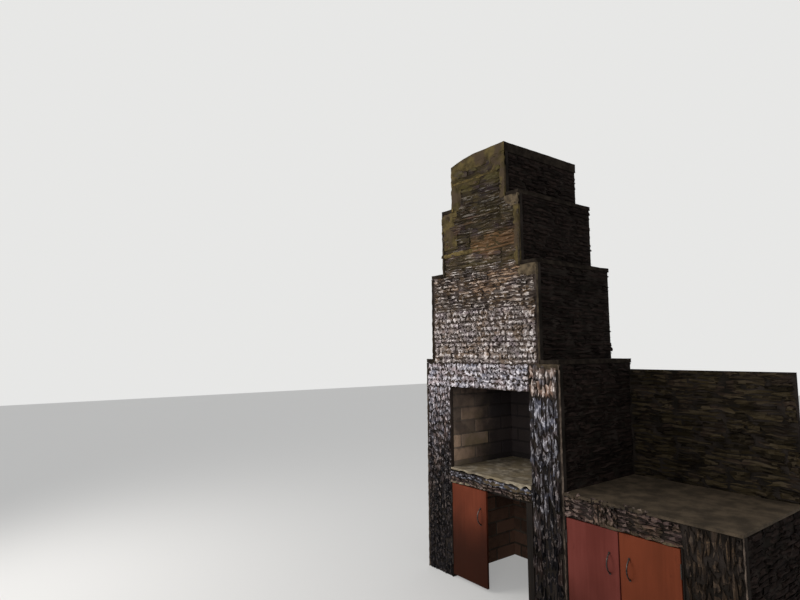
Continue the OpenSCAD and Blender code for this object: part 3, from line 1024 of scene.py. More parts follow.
class BrickBank(Bank):
    """Clay bricks with eased edges."""

    SIZE = Vector((0.29, 0.14, 0.09))
    EASE = 0.004
    CUTS = (0.10, 0.0, 0.045)
    SCATTER = 0.0026

    def shape(self, seed: int) -> bpy.types.Object:
        """Models one brick at its true size, then fits it to a unit cube.

        Args:
            seed: the seed of its unevenness.

        Returns:
            The brick, as a unit block.
        """
        brick = Bench.block(self.name, -self.SIZE / 2, self.SIZE / 2)
        Bench.soften(brick, self.EASE, 1)
        Bench.slice(brick, self.CUTS)
        with Bench.editing(brick):
            bpy.ops.transform.vertex_random(offset=self.SCATTER, seed=seed)
        return self.fit(brick)


@dataclass(frozen=True)
class Pattern:
    """How stones are laid in a panel: the row, the stone's length in it, and how far it stands out."""

    row: Span
    length: Span
    relief: Span
    growth: Span = Span(0.92, 1.14)
    tilt: Span = Span(-0.06, 0.06)

    def fill(self, width: float, height: float, upright: bool, dice: random.Random) -> Iterator[Cell]:
        """Lays rows of stones in a panel, upright ones on a pier.

        Args:
            width: the panel's width.
            height: the panel's height.
            upright: whether the rows stand.
            dice: the source of the draws.

        Yields:
            The place along, the place up, the width and the height of each stone.
        """
        across, along = (width, height) if upright else (height, width)
        for start, thickness in self.row.fill(across, dice):
            for begin, length in self.length.fill(along, dice):
                yield (start, begin, thickness, length) if upright else (begin, start, length, thickness)


class Lay:
    """The patterns that the stones of the fireplace are laid in."""

    RIBS = Pattern(Span(0.025, 0.040), Span(0.07, 0.22), Span(-0.009, 0.010), Span(0.92, 1.10),
                   Span(-0.05, 0.05))
    LONG_RIBS = Pattern(Span(0.026, 0.040), Span(0.08, 0.21), Span(-0.008, 0.009), Span(0.94, 1.15),
                        Span(-0.05, 0.05))
    CRUMBS = Pattern(Span(0.022, 0.036), Span(0.025, 0.075), Span(-0.008, 0.009), Span(0.92, 1.15),
                     Span(-0.10, 0.10))
    BLOBS = Pattern(Span(0.032, 0.056), Span(0.026, 0.066), Span(-0.006, 0.008), Span(0.95, 1.30),
                    Span(-0.20, 0.20))
    BREAST_BLOBS = replace(BLOBS, relief=Span(-0.007, 0.008))
    ROWS = Pattern(Span(0.020, 0.034), Span(0.05, 0.15), Span(-0.005, 0.007), Span(0.95, 1.2))
    STRIPS = Pattern(Span(0.018, 0.030), Span(0.14, 0.36), Span(-0.005, 0.003), Span(0.98, 1.2),
                     Span(-0.03, 0.03))
    SLABS = Pattern(Span(0.07, 0.10), Span(0.16, 0.34), Span(-0.004, 0.0), Span(0.98, 1.1), Span(-0.02, 0.02))
    LONG_ROWS = Pattern(Span(0.026, 0.040), Span(0.10, 0.30), Span(-0.005, 0.004))
    EDGE = Pattern(Span(0.024, 0.040), Span(0.025, 0.08), Span(-0.005, 0.008))
    BAND_THREE = Pattern(Span(0.034, 0.042), Span(0.04, 0.11), Span(-0.005, 0.008))
    BAND_FOUR = Pattern(Span(0.024, 0.032), Span(0.05, 0.13), Span(-0.005, 0.006))
    BAND_TALL = Pattern(Span(0.026, 0.040), Span(0.08, 0.13), Span(-0.005, 0.007))


@dataclass(frozen=True)
class Layout:
    """How cladding panels lie on a surface."""

    upright: bool = False
    first: float = PANEL_LENGTH
    length: float = PANEL_LENGTH
    seam_right: bool = False

    @staticmethod
    def stretches(total: float, first: float, step: float) -> Iterator[tuple[float, float]]:
        """Cuts a length into panels.

        Args:
            total: the length to cut.
            first: the length of the first panel.
            step: the length of the others; the last one fills the rest.

        Yields:
            The start and the length of each panel.
        """
        start = 0.0
        size = first
        while start + size < total - PANEL_LEAST:
            yield start, size
            start += size
            size = step
        yield start, total - start

    def panels(self, width: float, height: float) -> Iterator[Cell]:
        """Cuts a surface into panels.

        Args:
            width: the surface's width.
            height: the surface's height.

        Yields:
            The place along, the place up, the width and the height of each panel.
        """
        if self.upright:
            for away, breadth in self.stretches(width, PANEL_COURSE, width):
                along = width - away - breadth if self.seam_right else away
                for down, length in self.stretches(height, self.first, self.length):
                    yield along, height - down - length, breadth, length
        else:
            for row, (up, course) in enumerate(self.stretches(height, PANEL_COURSE, PANEL_COURSE)):
                for along, length in self.stretches(width, self.first / (1 + row % 2), self.length):
                    yield along, up, length, course


@dataclass(frozen=True)
class Patch:
    """A place on a front where the stones differ from the rest, in colour and dullness and in painted light
    and shade.

    Its middle is a place right of the fire's centre line and a height, where its tints count in full.
    """

    middle: tuple[float, float]
    reach: tuple[float, float]
    tone: float = 0.0
    warmth: float = 0.0
    dull: float = 0.0

    @classmethod
    def level(cls, height: float, reach: float, *tints: float) -> "Patch":
        """A patch that goes along the whole of a front."""
        return cls((0.0, height), (WIDE, reach), *tints)

    def share(self, place: Vector) -> float:
        """How much of the patch shows at a place on the front, from 0 to 1."""
        away = (place.x - FIRE_CENTRE - self.middle[0], place.z - self.middle[1])
        return math.exp(-sum((part / reach) ** 2 for part, reach in zip(away, self.reach)))


@dataclass(frozen=True)
class Skin:
    """Stones of one pattern and finish on one side of a node, or on a part of that side.

    Its margins stay free of stones at the two ends of the side, for the mortar on the corners.
    """

    pattern: Pattern
    finish: StoneFinish
    layout: Layout = Layout()
    margins: tuple[float, float] = (0.0, 0.0)
    facing: Facing = Facing.FRONT
    low: float = -math.inf
    high: float = math.inf
    left: float = 0.0
    right: float = math.inf
    tone: Span = Span(0.1, 0.9)
    warmth: Span = Span(0.0, 0.25)
    patches: tuple[Patch, ...] = ()


@dataclass(frozen=True)
class Smear:
    """Mortar spread over the stones of a front.

    It goes from one place to another right of the fire's centre line, and between two heights.
    """

    start: float
    end: float
    low: float
    high: float
    out: float
    finish: MortarFinish
    fade: float = 0.03
    lumps: float = 26.0

    def sink(self, place: Vector) -> float:
        """Says how far the mortar has come away at a place, most of all at its ragged edge.

        Args:
            place: a place in the mortar's face.

        Returns:
            The share of its thickness, from 0 to 1.
        """
        across = place.x - FIRE_CENTRE
        inside = min(across - self.start, self.end - across, place.z - self.low, self.high - place.z)
        edge = 1.0 - min(inside / self.fade, 1.0)
        return min(max(edge * 0.8 + noise.noise(place * self.lumps) * 1.1, 0.0), 1.0)


@dataclass(frozen=True)
class Crest:
    """Small stones on the top edge of a front, between two places right of the fire's centre line."""

    start: float
    end: float
    length: Span = Span(0.018, 0.048)
    rise: Span = Span(0.008, 0.025)
    depth: Span = Span(0.022, 0.040)
    turn: Span = Span(-0.25, 0.25)
    overlap: float = 1.1
    proud: float = 0.003
    sunk: float = 0.004


@dataclass(frozen=True)
class Corner:
    """The mortar at a front corner: its finish on the front and on the side, its width and its relief."""

    finish: MortarFinish
    edging: MortarFinish
    width: float = 0.011
    proud: float = 0.004


@dataclass
class Cladding:
    """Stones in mortar that stand for one cladding node."""

    node: str
    skins: tuple[Skin, ...]
    bank: StoneBank
    dice: random.Random
    corners: tuple[Corner | None, Corner | None] = (None, None)
    smears: tuple[Smear, ...] = ()
    crest: Crest | None = None
    grout: MortarFinish = Shop.GROUT
    cheek: MortarFinish = Shop.GROUT
    tongue: float = 0.0
    recess: float = 0.013
    root: float = 0.006
    stand_out: float = 0.012
    least: float = 0.008
    waver: float = 0.020
    waver_size: float = 0.11
    bead_depth: float = 0.016
    bead_wear: float = 0.009
    bead_grain: float = 0.03
    bead_cuts: Size = (0.005, 0.008, 0.016)
    edging_set_back: float = 0.002
    groove: float = 0.002
    smear_cuts: Size = (0.011, 0.0, 0.009)
    film: float = 0.001

    def bed(self, facing: Facing) -> bpy.types.Object:
        """Builds the plate of mortar behind the stones of one side.

        Args:
            facing: the side.

        Returns:
            The plate.
        """
        panel = Panel.of(self.node, facing)
        stage = len({skin.facing for skin in self.skins}) > 1
        side = facing is not Facing.FRONT
        thickness = CLAD_SIDE if side and stage else self.thickness(facing)
        start = CLAD_FRONT if stage and facing is Facing.RIGHT else -self.tongue
        end = CLAD_FRONT if stage and facing is Facing.LEFT else 0.0
        plate = Bench.block(self.node + "_bed", panel.place(start, 0, -self.recess),
                            panel.place(panel.width - end, panel.height, -thickness))
        Bench.paint(plate, Shop.GROUT if side else self.grout, self.cheek)
        for face in plate.data.polygons:
            face.material_index = int(face.normal.x > 0.5 and not side)
        return plate

    def thickness(self, facing: Facing) -> float:
        """How thick the cladding is behind one side."""
        low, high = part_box(self.node)
        return min((high - low).x, (high - low).y, CLAD_FRONT if facing is Facing.FRONT else math.inf)

    def stones(self, skin: Skin) -> bpy.types.Object:
        """Lays the stones of one skin, panel by panel, and lets their rows waver a little.

        Args:
            skin: the skin to lay.

        Returns:
            The stones as one object.
        """
        face = Panel.of(self.node, skin.facing)
        left = max(skin.left, skin.margins[0])
        right = min(skin.right, face.width - skin.margins[1])
        low = max(skin.low - face.corner.z, 0.0)
        high = min(skin.high - face.corner.z, face.height)
        panels = []
        for along, up, width, height in skin.layout.panels(face.width, face.height):
            start = max(along + PANEL_JOINT / 2, left)
            end = min(along + width - PANEL_JOINT / 2, right)
            bottom = max(up + PANEL_JOINT / 2, low)
            top = min(up + height - PANEL_JOINT / 2, high)
            if end - start > self.least and top - bottom > self.least:
                panels.append(self.panel(face, skin, (start, end, bottom, top)))
        rows = Bench.join(self.node + "_rows", panels)
        Bench.waver(rows, self.waver, self.waver_size)
        self.confine(rows, face, (left, right, low, high))
        return rows

    def panel(self, face: Panel, skin: Skin, reach: Cell) -> bpy.types.Object:
        """Lays the stones of one cladding panel, none of which passes its edges.

        Args:
            face: the side of the node.
            skin: the skin that the panel belongs to.
            reach: the panel's start, end, bottom and top on that side.

        Returns:
            The panel's stones as one object.
        """
        start, end, bottom, top = reach
        cells = skin.pattern.fill(end - start, top - bottom, skin.layout.upright, self.dice)
        laid = [self.stone(face, skin, (start + along, bottom + up, width, height))
                for along, up, width, height in cells]
        rows = Bench.join(self.node + "_panel", laid)
        self.confine(rows, face, reach)
        return rows

    def confine(self, rows: bpy.types.Object, face: Panel, reach: Cell) -> None:
        """Presses stones back to the edges and the depth of the part of a side that they cover.

        Args:
            rows: the stones.
            face: the side of the node.
            reach: the start, end, bottom and top of the part.
        """
        start, end, bottom, top = reach
        Bench.keep_within(rows, face.place(start, bottom, self.stand_out),
                          face.place(end, top, -self.recess - self.root))

    def stone(self, face: Panel, skin: Skin, cell: Cell) -> bpy.types.Object:
        """Lays one stone about its cell, a little larger or smaller and askew.

        Args:
            face: the side of the node.
            skin: the skin that the stone belongs to.
            cell: the place along, the place up, the width and the height of its cell.

        Returns:
            The stone.
        """
        pattern = skin.pattern
        along, up, width, height = cell
        relief = pattern.relief.draw(self.dice)
        depth = self.recess + self.root + relief
        size = (width * pattern.growth.draw(self.dice), height * pattern.growth.draw(self.dice), depth)
        turn = Matrix.Rotation(pattern.tilt.draw(self.dice), 4, "Z")
        matrix = face.matrix(along + width / 2, up + height / 2, relief - depth / 2, size) @ turn
        tints = self.tints(skin, face.place(along + width / 2, up + height / 2, 0))
        return self.bank.copy(self.dice, matrix, tints, skin.finish)

    def tints(self, skin: Skin, place: Vector) -> Tags:
        """Draws the tints of a stone at a place.

        Args:
            skin: the skin that the stone belongs to.
            place: its middle.

        Returns:
            Its tone, warmth and dullness.
        """
        tints = [skin.tone.draw(self.dice), skin.warmth.draw(self.dice), 0.0]
        for patch in skin.patches:
            share = patch.share(place)
            changes = (patch.tone, patch.warmth, patch.dull)
            tints = [tint + change * share for tint, change in zip(tints, changes)]
        tone, warmth, dull = (min(max(tint, 0.0), 1.0) for tint in tints)
        return tone, warmth, dull

    def bead(self, side: int, corner: Corner) -> list[bpy.types.Object]:
        """Builds the mortar on a front corner, and the panels' edge behind it.

        Args:
            side: 1 for the right corner and -1 for the left one.
            corner: how it is made.

        Returns:
            Both strips.
        """
        low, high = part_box(self.node)
        outer = high.x if side > 0 else low.x
        inner = outer - side * (corner.width - self.groove)
        seam = low.y + self.bead_depth
        strips = ((low.y - corner.proud, seam, 0.0, corner.finish),
                  (seam, low.y + CLAD_FRONT, self.edging_set_back, corner.edging))
        parts = []
        for front, back, set_back, finish in strips:
            strip = Bench.block(self.node + "_bead", Vector((outer - side * set_back, front, low.z)),
                                Vector((inner, back, high.z)))
            Bench.slice(strip, self.bead_cuts)
            Bench.roughen(strip, self.bead_wear, self.bead_grain)
            parts.append(Bench.paint(strip, finish))
        return parts

    def smear(self, smear: Smear) -> bpy.types.Object:
        """Builds mortar that has been spread over the stones, and has come away in places.

        Args:
            smear: where it lies and how it is made.

        Returns:
            The mortar.
        """
        low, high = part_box(self.node)
        front = low.y - smear.out
        block = Bench.block(self.node + "_smear", Vector((FIRE_CENTRE + smear.start, front, smear.low)),
                            Vector((FIRE_CENTRE + smear.end, low.y + self.recess, smear.high)))
        Bench.slice(block, self.smear_cuts)
        for vertex in block.data.vertices:
            if vertex.co.y < front + self.film:
                vertex.co.y += (smear.out + self.recess - self.film) * smear.sink(vertex.co)
        Bench.waver(block, self.waver, self.waver_size)
        Bench.keep_within(block, low - Vector((0, self.stand_out, 0)), high)
        return Bench.paint(block, smear.finish)

    def rubble(self, crest: Crest) -> list[bpy.types.Object]:
        """Lays small stones on the top edge of the front.

        Args:
            crest: where they lie and how large they are.

        Returns:
            The stones.
        """
        low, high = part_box(self.node)
        skin = self.skins[0]
        start = FIRE_CENTRE + crest.start
        laid = []
        for begin, length in crest.length.fill(FIRE_CENTRE + crest.end - start, self.dice):
            rise = crest.rise.draw(self.dice)
            depth = crest.depth.draw(self.dice)
            middle = Vector((start + begin + length / 2, low.y + depth / 2 - crest.proud,
                             high.z + rise / 2 - crest.sunk))
            turn = Matrix.Rotation(crest.turn.draw(self.dice), 4, "Z")
            size = Matrix.Diagonal((length * crest.overlap, depth, rise + crest.sunk * 2, 1))
            matrix = Matrix.Translation(middle) @ turn @ size
            laid.append(self.bank.copy(self.dice, matrix, self.tints(skin, middle), skin.finish))
        return laid

    def build(self) -> None:
        """Builds the piece and hands it over."""
        parts = [self.bed(facing) for facing in dict.fromkeys(skin.facing for skin in self.skins)]
        parts += [self.stones(skin) for skin in self.skins]
        for side, corner in zip((-1, 1), self.corners):
            if corner:
                parts += self.bead(side, corner)
        parts += [self.smear(smear) for smear in self.smears]
        if self.crest:
            parts += self.rubble(self.crest)
        Delivery.piece(Bench.join(self.node + "_stones", parts), MASONRY, "stone_cladding", self.node)


@dataclass
class Facework:
    """All the stone cladding of the fireplace and its counter."""

    dice: random.Random = field(default_factory=lambda: random.Random(11))
    chunks: StoneBank = field(default_factory=lambda: StoneBank("chunk", 14, 100, (3, 3), 0.34))
    ledges: StoneBank = field(default_factory=lambda: StoneBank("ledge", 12, 200, (4, 3), 0.28))
    pier_waver: float = 0.008
    broad_edge: float = 0.026
    pier_top: float = 1.562
    rows_from: float = 1.95
    smooth_from: float = 2.272
    crown_from: float = 2.84
    edge_from: float = 0.722
    tall_band_from: float = 0.193
    # Darker, warmer and duller towards the floor: partly dirt, partly painted shade with fewer painted
    # highlights.
    foot: Patch = Patch.level(0.0, 0.74, -0.20, 0.75, 1.05)
    gold_spot: Patch = Patch((0.22, 2.20), (0.12, 0.04), 0.1, 0.7)
    dim: Corner = Corner(Shop.BEAD, Shop.DIM_EDGING, 0.010)

    def build(self) -> None:
        """Builds every cladding node's stones, in an order that the draws depend on."""
        for clad in (self.left_pier, self.right_pier, self.breast, self.counter_pier, self.lower_stage,
                     self.middle_stage, self.upper_stage, self.shaded_sides, self.splashback, self.hearth_edge,
                     self.counter_band):
            clad()
        self.chunks.clear()
        self.ledges.clear()

    def clad(self, node: str, bank: StoneBank, *skins: Skin, **details: object) -> None:
        """Builds one cladding node."""
        Cladding(node, skins, bank, self.dice, **details).build()

    def left_pier(self) -> None:
        """Clads the left pier with crumbled stones, with painted light towards the top and painted shade with
        dirt towards the floor.
        """
        # Painted light towards the top, a dimmer band, and dirt with painted shade at the foot.
        patches = (Patch.level(1.50, 0.30, 0.80), Patch.level(1.05, 0.20, 0.12, 0.1),
                   Patch.level(0.0, 0.92, -0.20, 0.85, 1.05))
        skin = Skin(Lay.CRUMBS, Shop.CRUMBS, Layout(True, first=2.0), (0.012, 0.0), tone=Span(0.0, 0.20),
                    patches=patches)
        self.clad("left_pier_cladding", self.chunks, skin, corners=(self.dim, None), waver=self.pier_waver,
                  cheek=Shop.LIT_GROUT)

    def right_pier(self) -> None:
        """Clads the right pier with ribs: a long blue panel, and a cut orange one over it."""
        two_panels = Layout(True, PANEL_TOP, 2.0, True)
        margins = (0.0, self.broad_edge)
        seam = self.pier_top - PANEL_TOP
        # The blue panel is dark, with a band of painted light about 1.16 m up and dirt with painted shade at
        # its foot.
        blue = Skin(Lay.RIBS, Shop.PIER, two_panels, margins, high=seam, tone=Span(0.0, 0.24),
                    patches=(Patch.level(1.16, 0.20, 0.18, -0.15), self.foot))
        orange = Skin(Lay.LONG_RIBS, Shop.ORANGE, two_panels, margins, low=seam, tone=Span(0.34, 0.72),
                      warmth=Span(0.1, 0.9))
        self.clad("right_pier_cladding", self.chunks, blue, orange, corners=(None, self.dim),
                  waver=self.pier_waver, smears=(Smear(0.44, 0.66, 1.530, 1.60, 0.008, Shop.PATCH),))

    def breast(self) -> None:
        """Clads the breast over the fire with small split blocks."""
        lit_left = Patch((-0.64, 1.44), (0.35, WIDE), 0.35)
        skin = Skin(Lay.BREAST_BLOBS, Shop.BREAST, margins=(Corner.width, 0.0), tone=Span(0.55, 0.90),
                    patches=(lit_left,))
        self.clad("breast_cladding", self.chunks, skin, corners=(Corner(Shop.PATCH, Shop.DIM_EDGING), None),
                  waver=0.018, waver_size=0.07, grout=Shop.LIT_GROUT)

    def counter_pier(self) -> None:
        """Clads the pier at the counter's end with brown ribs."""
        skin = Skin(Lay.RIBS, Shop.BROWN, Layout(True, 2.0, 2.0, True), (Corner.width, Corner.width),
                    tone=Span(0.3, 0.9), patches=(self.foot,))
        self.clad("counter_pier_cladding", self.chunks, skin, corners=(None, self.dim), waver=self.pier_waver)

    def stage(self, node: str, bank: StoneBank, skins: tuple[Skin, Skin], corners: tuple[Corner, Corner],
              **details: object) -> None:
        """Clads one stage of the stack on its front and on both sides.

        Args:
            node: the cladding node.
            bank: the models of its stones.
            skins: the front's lower and upper stones.
            corners: the mortar on the left and on the right corner.
            details: other fields of the cladding.
        """
        margins = (self.broad_edge, self.broad_edge)
        fronts = (replace(skin, margins=margins) for skin in skins)
        self.clad(node, bank, *fronts, *self.sides(), corners=corners, **details)

    def lower_stage(self) -> None:
        """Clads the stack's lower stage: split blocks, with rows of longer stones over them."""
        corner = Corner(Shop.STAGE_BEAD, Shop.DIM_EDGING, 0.010)
        rust = Patch((0.01, 2.10), (0.17, 0.05), -0.05, 0.55)
        blocks = Skin(Lay.BLOBS, Shop.FRONT, high=self.rows_from, tone=Span(0.65, 1.0), patches=(rust,))
        rows = Skin(Lay.ROWS, Shop.LEDGE, low=self.rows_from, tone=Span(0.55, 0.95),
                    patches=(Patch.level(2.26, 0.16, -0.20, 0.22), rust, self.gold_spot))
        self.stage("lower_stack_cladding", self.chunks, (blocks, rows), (corner, corner), waver=0.016,
                   waver_size=0.07, grout=Shop.LIT_GROUT,
                   smears=(Smear(0.315, 0.50, 2.145, 2.26, 0.009, Shop.PATCH, 0.018),))

    def middle_stage(self) -> None:
        """Clads the stack's middle stage with long strips, brown with smoke and rust over the first rows."""
        corner = Corner(Shop.EDGING, Shop.EDGING, 0.022)
        # The first patch brightens the stage's foot with painted highlights; the next ones are rust and an
        # olive, dull margin.
        patches = (Patch.level(2.24, 0.10, 0.65, 0.1), Patch((0.12, 2.42), (0.20, 0.08), 0.45, 1.0, 0.25),
                   Patch((-0.40, 2.60), (0.13, 0.20), 0.2, 0.3, 0.9))
        bright = Skin(Lay.STRIPS, Shop.LEDGE, high=self.smooth_from, tone=Span(0.35, 0.80),
                      patches=(self.gold_spot,))
        brown = Skin(Lay.STRIPS, Shop.UPPER, low=self.smooth_from, tone=Span(0.35, 0.80), patches=patches)
        self.stage("middle_stack_cladding", self.ledges, (bright, brown), (corner, corner), waver=0.012,
                   grout=Shop.SMOOTH_GROUT,
                   smears=(Smear(-0.46, -0.06, 2.373, 2.402, 0.006, Shop.GOLD, 0.014),
                           Smear(0.295, 0.36, 2.23, 2.70, 0.003, Shop.OLIVE, 0.04),
                           Smear(-0.46, -0.27, 2.43, 2.74, 0.003, Shop.OLIVE, 0.07),
                           Smear(0.215, 0.38, 2.640, 2.75, 0.008, Shop.PATCH)))

    def upper_stage(self) -> None:
        """Clads the stack's upper stage: strips, with slabs under olive and gold mortar at the crown."""
        corners = (Corner(Shop.GOLD, Shop.EDGING, 0.022), Corner(Shop.OLIVE, Shop.EDGING, 0.022))
        strips = Skin(Lay.STRIPS, Shop.UPPER, high=self.crown_from, tone=Span(0.20, 0.60),
                      patches=(Patch((-0.33, 2.78), (0.09, 0.20), 0.2, 0.3, 0.9),))
        slabs = Skin(Lay.SLABS, Shop.CROWN, low=self.crown_from, tone=Span(0.7, 1.0), warmth=Span(0.0, 0.6))
        self.stage("upper_stack_cladding", self.ledges, (strips, slabs), corners, waver=0.012,
                   grout=Shop.SMOOTH_GROUT,
                   smears=(Smear(-0.34, 0.26, 3.005, 3.09, 0.004, Shop.OLIVE, 0.03),
                           Smear(0.10, 0.26, 2.94, 3.06, 0.004, Shop.OLIVE, 0.04),
                           Smear(-0.34, -0.25, 2.94, 3.06, 0.004, Shop.OLIVE, 0.03),
                           Smear(-0.30, 0.13, 2.920, 2.938, 0.008, Shop.GOLD, 0.006),
                           Smear(-0.22, -0.04, 2.885, 2.925, 0.004, Shop.OLIVE, 0.02),
                           Smear(0.175, 0.26, 2.70, 3.00, 0.004, Shop.OLIVE, 0.04),
                           Smear(-0.34, -0.22, 2.72, 2.93, 0.003, Shop.OLIVE, 0.05)))

    def sides(self) -> tuple[Skin, Skin]:
        """Plans the two sides of a stage of the stack, behind the front's mortar corners, in stone painted
        dark as shade.

        Returns:
            The right and the left skin.
        """
        depth = Panel.of("lower_stack_cladding", Facing.RIGHT).width
        whole = Layout(length=depth, first=depth * 2)
        right = Skin(Lay.LONG_ROWS, Shop.SIDE, whole, facing=Facing.RIGHT, left=CLAD_FRONT,
                     tone=Span(0.3, 0.8))
        return right, replace(right, facing=Facing.LEFT, left=0.0, right=depth - CLAD_FRONT)

    def shaded_sides(self) -> None:
        """Clads both sides of the base and the counter's end with long stones painted dark as shade."""
        for node, facing in (("left_side_cladding", Facing.LEFT), ("right_side_cladding", Facing.RIGHT),
                             ("counter_end_cladding", Facing.RIGHT)):
            whole = Layout(length=WIDE, first=WIDE * 2)
            self.clad(node, self.ledges,
                      Skin(Lay.LONG_ROWS, Shop.SIDE, whole, facing=facing, tone=Span(0.3, 0.8)))

    def splashback(self) -> None:
        """Clads the splashback with long stones whose mortar reaches behind the side's."""
        skin = Skin(Lay.LONG_ROWS, Shop.SPLASH, tone=Span(0.2, 1.0))
        self.clad("splashback", self.ledges, skin, tongue=Cladding.recess)

    def hearth_edge(self) -> None:
        """Lays the stones under the hearth's edge, slate above and brown below."""
        slate = Skin(Lay.EDGE, Shop.EDGE, low=self.edge_from, tone=Span(0.5, 1.0))
        brown = Skin(Lay.EDGE, Shop.BAND, high=self.edge_from, tone=Span(0.6, 1.0))
        self.clad("hearth_edge_cladding", self.chunks, slate, brown,
                  smears=(Smear(-0.39, -0.04, 0.6795, 0.692, 0.006, Shop.PLASTER, 0.005),
                          Smear(-0.05, 0.38, 0.728, 0.752, 0.005, Shop.PATCH, 0.012)))

    def counter_band(self) -> None:
        """Lays three rows, a stretch of upright stones and four rows over the counter's doors."""
        node = "counter_band_cladding"
        half = Panel.of(node, Facing.FRONT).width / 2
        flat_end = Patch((1.20, 0.72), (0.32, WIDE), 0.10, 0.15, 0.75)
        three = Skin(Lay.BAND_THREE, Shop.BAND, right=self.tall_band_from, tone=Span(0.4, 1.0))
        tall = Skin(Lay.BAND_TALL, Shop.BAND, Layout(True, 1.0), left=self.tall_band_from, right=half,
                    tone=Span(0.4, 1.0), warmth=Span(0.1, 0.5))
        four = Skin(Lay.BAND_FOUR, Shop.BAND, left=half, tone=Span(0.55, 0.95), patches=(flat_end,))
        self.clad(node, self.chunks, three, tall, four, crest=Crest(0.632, 1.166),
                  smears=(Smear(0.867, 1.322, 0.6585, 0.672, 0.006, Shop.PATCH, 0.005),))


@dataclass(frozen=True)
class Run:
    """A straight stretch of brickwork between two corners."""

    low: Vector
    high: Vector
    lead: float = 0.0
    phase: float = 0.0
    wythes: int = 1

    @property
    def along(self) -> int:
        """The axis that the bricks run along: the longer one."""
        size = self.high - self.low
        return 0 if size.x > size.y else 1


@dataclass
class Brickwork:
    """Bricks laid in mortar that stand for one node."""

    bank: BrickBank
    dice: random.Random
    joint: float = 0.010
    course: float = 0.100
    least: float = 0.030
    rake: float = 0.004
    header_from: float = 0.165

    def courses(self, run: Run) -> Iterator[tuple[int, tuple[float, float]]]:
        """Cuts a run into courses.

        Args:
            run: the run.

        Yields:
            The number of each course that is high enough for bricks, and their two levels.
        """
        level = run.low.z - run.phase
        count = 0
        while level < run.high.z - self.least:
            low = max(level, run.low.z) + self.joint / 2
            high = min(level + self.course, run.high.z) - self.joint / 2
            if high - low > self.least:
                yield count, (low, high)
            level += self.course
            count += 1

    def row(self, start: float, end: float, shift: float, length: float) -> Iterator[tuple[float, float]]:
        """Cuts one row of a course into bricks.

        Args:
            start: where the row starts.
            end: where it ends.
            shift: how far before its start its first brick would begin.
            length: the length of a whole brick.

        Yields:
            The two ends of each brick.
        """
        place = start - shift
        while place < end:
            ends = (max(place, start), min(place + length, end))
            if ends[1] - ends[0] > self.least:
                yield ends
            place += length + self.joint

    def bricks(self, run: Run, finish: BrickFinish, mood: Mood, first: int) -> list[bpy.types.Object]:
        """Lays the bricks of one run, course by course.

        Args:
            run: the run.
            finish: the bricks' finish.
            mood: gives the tone and the warmth of a brick from its place.
            first: the number of the first course, which sets the bond.

        Returns:
            The bricks.
        """
        along = run.along
        across = 1 - along
        depth = (run.high[across] - run.low[across]) / run.wythes
        length = BrickBank.SIZE.y if depth > self.header_from else BrickBank.SIZE.x
        made = []
        for count, levels in self.courses(run):
            for wythe in range(run.wythes):
                shift = run.lead + (first + count + wythe) % 2 * (length + self.joint) / 2
                side = run.low[across] + depth * wythe
                for ends in self.row(run.low[along], run.high[along], shift, length):
                    made.append(self.brick(along, (ends, (side, side + depth), levels), finish, mood))
        return made

    def brick(self, along: int, reach: tuple[tuple[float, float], ...], finish: BrickFinish,
              mood: Mood) -> bpy.types.Object:
        """Lays one brick.

        Args:
            along: the axis that it runs along.
            reach: where it starts and ends along that axis, across it and in height.
            finish: its finish.
            mood: gives its tone and warmth from its place.

        Returns:
            The brick.
        """
        middle = Vector((0, 0, sum(reach[2]) / 2))
        middle[along] = sum(reach[0]) / 2
        middle[1 - along] = sum(reach[1]) / 2
        turn = Matrix.Rotation(math.pi / 2, 4, "Z") if along == 1 else Matrix.Identity(4)
        size = Matrix.Diagonal((*(end - start for start, end in reach), 1))
        matrix = Matrix.Translation(middle) @ turn @ size
        return self.bank.copy(self.dice, matrix, (*mood(middle), 0.0), finish)

    def build(self, node: str, runs: list[Run], mood: Mood, sooty: bool = False) -> None:
        """Builds a brick node, with its own solid raked back from the bricks as mortar, and hands it over.

        Args:
            node: the CAD node.
            runs: the runs of bricks that fill it.
            mood: gives the tone and the warmth of a brick from its place.
            sooty: whether soot lies on it.
        """
        core = Bench.copy_of(node, node + "_mortar")
        with Bench.editing(core):
            bpy.ops.transform.shrink_fatten(value=-self.rake, use_even_offset=True)
        parts = [Bench.paint(core, Shop.SOOTY_JOINT if sooty else Shop.JOINT)]
        for index, run in enumerate(runs):
            parts += self.bricks(run, Shop.FIRE_BRICK if sooty else Shop.BRICK, mood, index)
        slot = "sooty_brick" if sooty else "brick"
        Delivery.piece(Bench.join(node + "_bricks", parts), MASONRY, slot, node)


